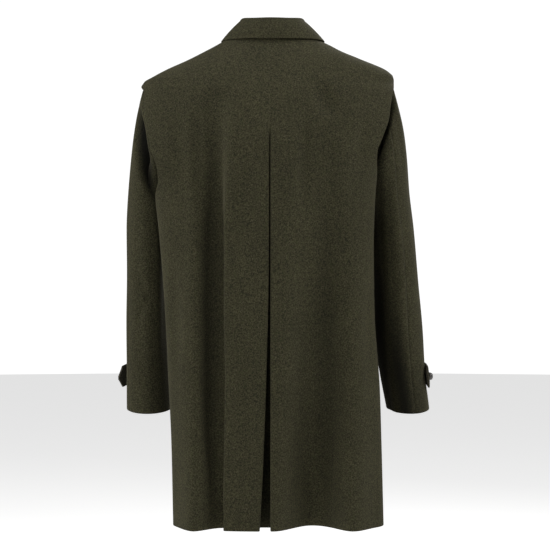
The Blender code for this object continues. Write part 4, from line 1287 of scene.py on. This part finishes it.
@once("node_groups", "Heather wool")
def heather_group(name):
    """Wool spun from fibres of several colours, with its nap."""
    fibres = dict.fromkeys(("Ground", "Shade", "Moss", "Fleck"), "Color")
    group, start, end = new_group(
        name, {"Vector": "Vector", **fibres, "Flecks": "Float"}, {"Color": "Color", "Height": "Float"}
    )
    given = start.outputs
    spun, moss, fibre, fleck, cloud = [
        noise_mask(group, given["Vector"], PATTERNS[label])
        for label in ("spun", "moss", "fibre", "fleck", "cloud")
    ]
    wool = mixed(group, spun, given["Shade"], given["Ground"])
    layers = [(moss, MOSS_SHARE, "Moss"), (fibre, DARK_SHARE, "Shade"), (fleck, given["Flecks"], "Fleck")]
    for mask, share, label in layers:
        wool = mixed(group, calculated(group, "MULTIPLY", mask, share), wool, given[label])
    clouded = mixed(group, cloud, opaque(3 * (CLOUD_DARKEST,)), opaque(3 * (CLOUD_PALEST,)))
    height = calculated(group, "ADD", calculated(group, "MULTIPLY", spun, SPUN_HEIGHT), fibre)
    feed(end, {"Color": mixed(group, 1.0, wool, clouded, "MULTIPLY"), "Height": height})
    return group


@once("node_groups", "Fulled weave")
def weave_group(name):
    """Faint ribs of warp and weft under the nap."""
    group, start, end = new_group(name, {"Vector": "Vector", "Pitch": "Float"}, {"Height": "Float"})
    apart = add_node(group, "SeparateXYZ", {"Vector": start.outputs["Vector"]})
    waves = []
    for axis in "XY":
        share = calculated(group, "DIVIDE", apart.outputs[axis], start.outputs["Pitch"])
        waves.append(calculated(group, "SINE", calculated(group, "MULTIPLY", share, TURN)))
    feed(end, {"Height": calculated(group, "MULTIPLY", *waves)})
    return group


@once("node_groups", "Rubbed edges")
def rubbed_group(name):
    """Uneven wear on edges and high places; on the buttons its mask also places a painted highlight."""
    group, start, end = new_group(
        name, {"Vector": "Vector", "Near": "Float", "Amount": "Float"}, {"Mask": "Float"}
    )
    patchy = noise_mask(group, start.outputs["Vector"], PATTERNS["patchy"])
    worn = calculated(group, "MULTIPLY", start.outputs["Near"], patchy)
    feed(end, {"Mask": calculated(group, "MULTIPLY", worn, start.outputs["Amount"])})
    return group


def new_finish(name, colour):
    """A material with a plain colour, its nodes, its shader and the place on the object."""
    finish = bpy.data.materials.new(name)
    finish.use_nodes = True
    finish.diffuse_color = opaque(colour)
    tree = finish.node_tree
    return finish, tree, tree.nodes["Principled BSDF"], add_node(tree, "TexCoord").outputs["Object"]


def add_heather(tree, place, fibres, flecks):
    """The heather wool in a finish, with the colours of its fibres and its share of pale flecks."""
    inputs = {label: opaque(colour) for label, colour in fibres.items()}
    return add_node(tree, "Group", {"Vector": place, "Flecks": flecks, **inputs}, node_tree=heather_group())


def painted(tree, label):
    """Values painted on the points of a mesh."""
    return add_node(tree, "Attribute", attribute_name=label).outputs["Fac"]


def rubbed(tree, place, amount):
    """Mask of the rubbed places of a finish."""
    inputs = {"Vector": place, "Near": painted(tree, "edge_near"), "Amount": amount}
    return add_node(tree, "Group", inputs, node_tree=rubbed_group()).outputs["Mask"]


def bumped(tree, height, strength, distance):
    """Normals of a surface with fine relief."""
    inputs = {"Height": height, "Strength": strength, "Distance": distance}
    return add_node(tree, "Bump", inputs).outputs["Normal"]


def wool_finish(name, ground, shade, moss, flecks, worn):
    """Napped wool with heather colours, a faint weave, rubbed edges and painted shade in its creases."""
    fleck = colours().fleck
    finish, tree, shader, place = new_finish(name, ground)
    fibres = {"Ground": ground, "Shade": shade, "Moss": moss, "Fleck": fleck}
    wool = add_heather(tree, place, fibres, flecks)
    metres = add_node(tree, "UVMap", uv_map="metres").outputs["UV"]
    ribs = add_node(tree, "Group", {"Vector": metres, "Pitch": WEAVE_PITCH}, node_tree=weave_group())
    colour = mixed(tree, rubbed(tree, place, worn), wool.outputs["Color"], opaque(fleck))
    # Painted shade: the colour goes towards a deep tone of the dark fibre where the points are marked for
    # it
    colour = mixed(tree, painted(tree, "hollow"), colour, opaque(scaled(shade, PAINTED_SHADE_TONE)))
    woven = calculated(tree, "MULTIPLY", ribs.outputs["Height"], WEAVE_HEIGHT)
    height = calculated(tree, "ADD", wool.outputs["Height"], woven)
    settings = {
        "Base Color": colour,
        "Normal": bumped(tree, height, strength=0.35, distance=0.0006),
        "Roughness": 0.92,
        "Specular IOR Level": 0.15,
        "Sheen Weight": 0.10,
        "Sheen Roughness": 0.45,
        "Sheen Tint": (0.75, 0.68, 0.46, 1.0),
    }
    feed(shader, settings)
    return finish


@once("materials", "loden cloth")
def loden(name):
    """Cloth of the coat."""
    paint = colours()
    return wool_finish(name, paint.ground, paint.shade, paint.moss, flecks=0.45, worn=0.06)


@once("materials", "strap cloth")
def strap_wool(name):
    """Darker cloth of the straps."""
    strap = colours().strap
    dark, moss = scaled(strap, STRAP_DARK), scaled(colours().moss, STRAP_MOSS)
    return wool_finish(name, strap, dark, moss, flecks=0.30, worn=0.20)


@once("materials", "sewing thread")
def thread_finish(name):
    """Spun thread."""
    paint = colours()
    finish, tree, shader, place = new_finish(name, paint.thread)
    pale, dark = scaled(paint.thread, THREAD_PALE), scaled(paint.thread, THREAD_DARK)
    fibres = {"Ground": pale, "Shade": dark, "Moss": paint.thread, "Fleck": paint.fleck}
    wool = add_heather(tree, place, fibres, flecks=0.2)
    feed(shader, {"Base Color": wool.outputs["Color"], "Roughness": 0.6})
    return finish


@once("materials", "button horn")
def knot_horn(name):
    """Dark, satin, horn-like stuff, glossier on its rubbed strips and paler there from wear and a painted
    highlight.
    """
    knot = colours().knot
    finish, tree, shader, place = new_finish(name, knot)
    # Mask of the raised strips, paler from wear and a painted highlight
    mask = rubbed(tree, place, amount=0.7)
    grain = noise_mask(tree, place, PATTERNS["grain"])
    horn = mixed(tree, grain, opaque(scaled(knot, KNOT_DARK)), opaque(scaled(knot, KNOT_PALE)))
    rough = add_node(tree, "MapRange", {"Value": mask, "To Min": 0.40, "To Max": 0.20})
    settings = {
        "Base Color": mixed(tree, mask, horn, opaque(scaled(knot, KNOT_WORN_AND_HIGHLIGHT))),
        "Normal": bumped(tree, grain, strength=0.25, distance=0.0003),
        "Roughness": rough.outputs["Result"],
        "Coat Weight": 1.0,
        "Coat Roughness": 0.12,
    }
    feed(shader, settings)
    return finish


class COAT_OT_studio(bpy.types.Operator):
    """Make the plain floor, the soft lights and the camera"""

    bl_idname = "coat.studio"
    bl_label = "Studio"

    def execute(self, context):
        scene = context.scene
        self.add_floor(scene.coat_studio)
        scene.world = self.backdrop(scene.coat_studio)
        for lamp in LAMPS:
            self.add_lamp(lamp)
        scene.camera = self.add_camera()
        scene.view_settings.view_transform = "Standard"
        return {"FINISHED"}

    def add_floor(self, studio):
        """A pale disc under the coat, brighter where the camera sees it."""
        turns = np.arange(FLOOR_SIDES) * TURN / FLOOR_SIDES
        ring = np.stack([np.cos(turns), np.sin(turns), 0.0 * turns], axis=-1) * FLOOR_RADIUS
        mesh = bpy.data.meshes.new("floor")
        mesh.from_pydata((ring + studio.floor_z * UP).tolist(), [], [list(range(FLOOR_SIDES))])
        floor = add_object("floor", mesh)
        paint = colours().floor
        finish, tree, shader, place = new_finish("studio floor", paint)
        tint = noise_mask(tree, place, PATTERNS["floor"])
        seen = add_node(tree, "LightPath").outputs["Is Camera Ray"]
        settings = {
            "Base Color": mixed(tree, tint, opaque(scaled(paint, FLOOR_TINT)), opaque(paint)),
            "Roughness": 0.9,
            "Emission Color": WHITE,
            "Emission Strength": calculated(tree, "MULTIPLY", seen, studio.floor_glow),
        }
        feed(shader, settings)
        lay_out(tree)
        mesh.materials.append(finish)

    def backdrop(self, studio):
        """A world that is bright to the camera and gives the coat only a little light."""
        world = bpy.data.worlds.new("studio")
        world.use_nodes = True
        tree = world.node_tree
        seen = add_node(tree, "LightPath").outputs["Is Camera Ray"]
        levels = {"Value": seen, "To Min": studio.ambient, "To Max": studio.backdrop}
        strength = add_node(tree, "MapRange", levels).outputs["Result"]
        feed(tree.nodes["Background"], {"Color": WHITE, "Strength": strength})
        lay_out(tree)
        return world

    def add_lamp(self, lamp):
        """A square soft light, aimed at the middle of the coat."""
        light = bpy.data.lights.new(lamp.name, "AREA")
        light.size = lamp.size
        light.energy = lamp.power
        made = add_object(lamp.name, light)
        turn, rise = math.radians(lamp.azimuth), math.radians(lamp.elevation)
        away = Vector((math.sin(turn) * math.cos(rise), -math.cos(turn) * math.cos(rise), math.sin(rise)))
        made.location = Vector(COAT_MIDDLE) + LAMP_DISTANCE * away
        made.rotation_euler = (-away).to_track_quat("-Z", "Y").to_euler()

    def add_camera(self):
        """A camera that looks level at the back of the coat."""
        camera = bpy.data.cameras.new("camera")
        camera.lens = CAMERA_LENS
        camera.sensor_width = CAMERA_SENSOR
        eye = add_object("camera", camera)
        eye.location = CAMERA_SPOT
        eye.rotation_euler = (math.pi / 2.0, 0.0, 0.0)
        return eye


class COAT_OT_back(bpy.types.Operator):
    """Make both back halves with their turned-under pleat, and the strip behind it"""

    bl_idname = "coat.back"
    bl_label = "Back and pleat"

    def execute(self, context):
        cloth = sizes().cloth
        rails = []
        for side, name in SIDE_NAMES.items():
            panel, on_seam, shade = panel_grid(side, "back", BACK_COLUMNS, pleat_edge(side))
            turned = return_points(side, panel[:, 0])
            blank = np.zeros(turned.shape[:2])
            # Painted shade on the cloth turned inside the pleat
            under = blank.copy()
            under[:, :RETURN_POINTS] = PLEAT_SHADE
            whole = np.hstack([turned, panel])
            lining = np.hstack([blank, hem_lining(panel, HEM_REACH["back"])])
            shade = np.hstack([under, shade])
            normals = seam_normals(whole, np.hstack([blank > 0.0, on_seam]), OUTWARD_Y["back"])
            piece = add_shell(f"cloth_back_{name}", whole, normals, cloth, loden(), lining, shade)
            settle(piece, f"back_{name}")
            rails.append(self.underlay_rails(turned[:, 0], turned[:, RETURN_POINTS]))

        (left_end, left), (right_end, right) = rails
        between = [left + (right - left) * share for share in np.linspace(0.0, 1.0, UNDERLAY_COLUMNS)]
        strip = np.stack([left_end, *between, right_end], axis=1)
        blank = np.zeros(strip.shape[:2])
        normals = seam_normals(strip, blank > 0.0, OUTWARD_Y["back"])
        # Painted shade over the whole strip behind the pleat
        shade = blank + PLEAT_SHADE
        piece = add_shell("cloth_pleat_underlay", strip, normals, cloth, loden(), shade=shade)
        settle(piece, "pleat_underlay")
        return {"FINISHED"}

    def underlay_rails(self, far, near):
        """Long edge of the strip behind the turned cloth, and where the strip leaves that cloth."""
        levels = np.linspace(PLEAT_TOP_Z - UNDERLAY_DROP, HEM_Z, UNDERLAY_ROWS)
        behind = np.array([0.0, sizes().cloth + sizes().lap_gap, 0.0])
        order = np.argsort(far[:, 2])
        lines = []
        for line in (far[order], near[order]):
            at = [np.interp(levels, line[:, 2], line[:, axis]) for axis in range(3)]
            lines.append(np.stack(at, axis=-1) + behind)
        outer, inner = lines
        return outer, outer + UNDERLAY_OVERLAP * unit(inner - outer) * [1.0, 0.0, 0.0]


class COAT_OT_fronts(bpy.types.Operator):
    """Make both fronts, the left one lapped over the right one, with worked buttonholes"""

    bl_idname = "coat.fronts"
    bl_label = "Fronts"

    def execute(self, context):
        size = sizes()
        for side in (RIGHT, LEFT):
            panel, on_seam, shade = panel_grid(side, "front", FRONT_COLUMNS, front_edge(side))
            normals = seam_normals(panel, on_seam, OUTWARD_Y["front"])
            with_pieces = []
            if side == LEFT:
                over = ease(panel[..., 0], -LAP_BLEND_START, -LAP_BLEND_END)[..., None]
                panel = panel + normals * over * (size.cloth + size.front_lap_gap)
                normals = seam_normals(panel, on_seam, OUTWARD_Y["front"])
                with_pieces = [self.buttonholes(panel, normals)]
            name = SIDE_NAMES[side]
            lining = hem_lining(panel, HEM_REACH["front"])
            piece = add_shell(f"cloth_front_{name}", panel, normals, size.cloth, loden(), lining, shade)
            settle(piece, f"front_{name}")
        return {"FINISHED"}

    def buttonholes(self, panel, normals):
        """Thread laid round each slit of the upper front."""
        size = sizes()
        surface = panel + normals * (0.5 * size.cloth + 0.5 * size.thread)
        starts, ends = [], []
        for index in range(FRONT_BUTTON_COUNT):
            z = FRONT_BUTTON_FIRST_Z - index * FRONT_BUTTON_STEP
            for share in np.linspace(0.0, 1.0, HOLE_STITCHES):
                x = HOLE_START_X + (HOLE_END_X - HOLE_START_X) * share
                away = np.abs(panel[..., 0] - x) + np.abs(panel[..., 2] - z)
                row, column = np.unravel_index(np.argmin(away), away.shape)
                near = surface[row, column]
                tilt = normals[row, column]
                slide = np.array([x - near[0], 0.0, z - near[2]])
                seat = near + slide - tilt * (slide @ tilt)
                for way in (1.0, -1.0):
                    up = way * HOLE_HALF_HEIGHT * UP
                    starts.append(seat + HOLE_OPENING * up)
                    ends.append(seat + up)
        return sew("sewing_buttonholes", starts, ends, HOLE_THREAD * size.thread, thread_finish())


class COAT_OT_collar(bpy.types.Operator):
    """Make the turned-down collar with its stand"""

    bl_idname = "coat.collar"
    bl_label = "Collar"

    def execute(self, context):
        collar = collar_grid()
        normals = grid_normals(collar)
        if normals[-1, COLLAR_COLUMNS // 2, 1] > 0.0:
            normals = -normals
        piece = add_shell("cloth_collar", collar, normals, sizes().cloth, loden())
        settle(piece, "collar")
        return {"FINISHED"}


class COAT_OT_sleeves(bpy.types.Operator):
    """Make the top and under piece of both sleeves"""

    bl_idname = "coat.sleeves"
    bl_label = "Sleeves"

    def execute(self, context):
        for side, side_name in SIDE_NAMES.items():
            back = BACK_SEAM_DEG + SLEEVE_TWIST_DEG[side]
            front = FRONT_SEAM_DEG + SLEEVE_TWIST_DEG[side]
            for part, start, end in (("top", back, front), ("under", front, back + 360.0)):
                name = f"{part}_{side_name}"
                grid, normals, shade = sleeve_grid(side, start, end)
                lining = hem_lining(grid, HEM_REACH["sleeve"])
                cloth = sizes().cloth
                piece = add_shell(f"cloth_sleeve_{name}", grid, normals, cloth, loden(), lining, shade)
                settle(piece, f"sleeve_{name}")
        return {"FINISHED"}


class COAT_OT_straps(bpy.types.Operator):
    """Make the pointed cuff straps with their edge stitching and buttons"""

    bl_idname = "coat.straps"
    bl_label = "Cuff straps"

    def execute(self, context):
        size = sizes()
        for side, name in SIDE_NAMES.items():
            grid, normals, seat, facing = strap_grid(side)
            sewing = self.edge_stitches(side, grid, normals)
            piece = add_shell(f"cloth_strap_{name}", grid, normals, size.strap_cloth, strap_wool())
            settle(piece, f"cuff_tab_{name}")
            node = f"cuff_button_{name}"
            add_button(f"button_cuff_{name}", node, size.cuff_button, seat, facing, knot_horn())
        return {"FINISHED"}

    def edge_stitches(self, side, grid, normals):
        """Stitches a little inside the strap's long edges and point, on both faces."""
        size = sizes()
        inset = TAB_STITCH_INSET / TAB_HALF_HEIGHT
        centre = grid[TAB_ROWS // 2]
        last = -1 - int(TAB_FREE_COLUMNS * TAB_STITCH_INSET / TAB_FREE_LENGTH[side])
        starts, ends = [], []
        for face in (1.0, -1.0):
            lift = normals[0] * face * (0.5 * size.strap_cloth)
            for edge in (grid[0], grid[-1]):
                path = (centre + (edge - centre) * (1.0 - inset) + lift)[:last]
                first, second = stitch_line(path, size.stitch)
                starts.append(first)
                ends.append(second)
        starts, ends = np.concatenate(starts), np.concatenate(ends)
        return sew(f"sewing_strap_{SIDE_NAMES[side]}", starts, ends, size.thread, thread_finish())


class COAT_OT_front_buttons(bpy.types.Operator):
    """Make the row of buttons down the front"""

    bl_idname = "coat.front_buttons"
    bl_label = "Front buttons"

    def execute(self, context):
        size = sizes()
        for index in range(FRONT_BUTTON_COUNT):
            point, normal = front_seat(FRONT_BUTTON_FIRST_Z - index * FRONT_BUTTON_STEP)
            lap = size.cloth + size.front_lap_gap
            seat = point + normal * (lap + 0.5 * size.cloth + size.seam_gap)
            node = f"front_button_{index + 1}"
            add_button(f"button_front_{index + 1}", node, size.front_button, seat, normal, knot_horn())
        return {"FINISHED"}


class COAT_PT_pieces(bpy.types.Panel):
    """Lists the pieces of the coat and their sizes"""

    bl_idname = "COAT_PT_pieces"
    bl_label = "Wool Overcoat"
    bl_space_type = "VIEW_3D"
    bl_region_type = "UI"
    bl_category = "Coat"

    def draw(self, context):
        for operator in PIECE_OPERATORS:
            self.layout.operator(operator.bl_idname)
        for group in (context.scene.coat_sizes, context.scene.coat_colours, context.scene.coat_studio):
            box = self.layout.box()
            for name in group.__annotations__:
                box.prop(group, name)


PIECE_OPERATORS = (
    COAT_OT_studio,
    COAT_OT_back,
    COAT_OT_fronts,
    COAT_OT_collar,
    COAT_OT_sleeves,
    COAT_OT_straps,
    COAT_OT_front_buttons,
)
CLASSES = (CoatSizes, CoatColours, CoatStudio) + PIECE_OPERATORS + (COAT_PT_pieces,)


def register():
    """Add the settings, the operators and the panel."""
    for made in CLASSES:
        bpy.utils.register_class(made)
    bpy.types.Scene.coat_sizes = bpy.props.PointerProperty(type=CoatSizes)
    bpy.types.Scene.coat_colours = bpy.props.PointerProperty(type=CoatColours)
    bpy.types.Scene.coat_studio = bpy.props.PointerProperty(type=CoatStudio)


def unregister():
    """Take away what register added."""
    del bpy.types.Scene.coat_studio
    del bpy.types.Scene.coat_colours
    del bpy.types.Scene.coat_sizes
    for made in reversed(CLASSES):
        bpy.utils.unregister_class(made)


def main():
    """Build the whole coat."""
    register()
    bpy.ops.coat.studio()
    bpy.ops.coat.back()
    bpy.ops.coat.fronts()
    bpy.ops.coat.collar()
    bpy.ops.coat.sleeves()
    bpy.ops.coat.straps()
    bpy.ops.coat.front_buttons()
    bpy.context.view_layer.update()


if __name__ == "__main__":
    main()
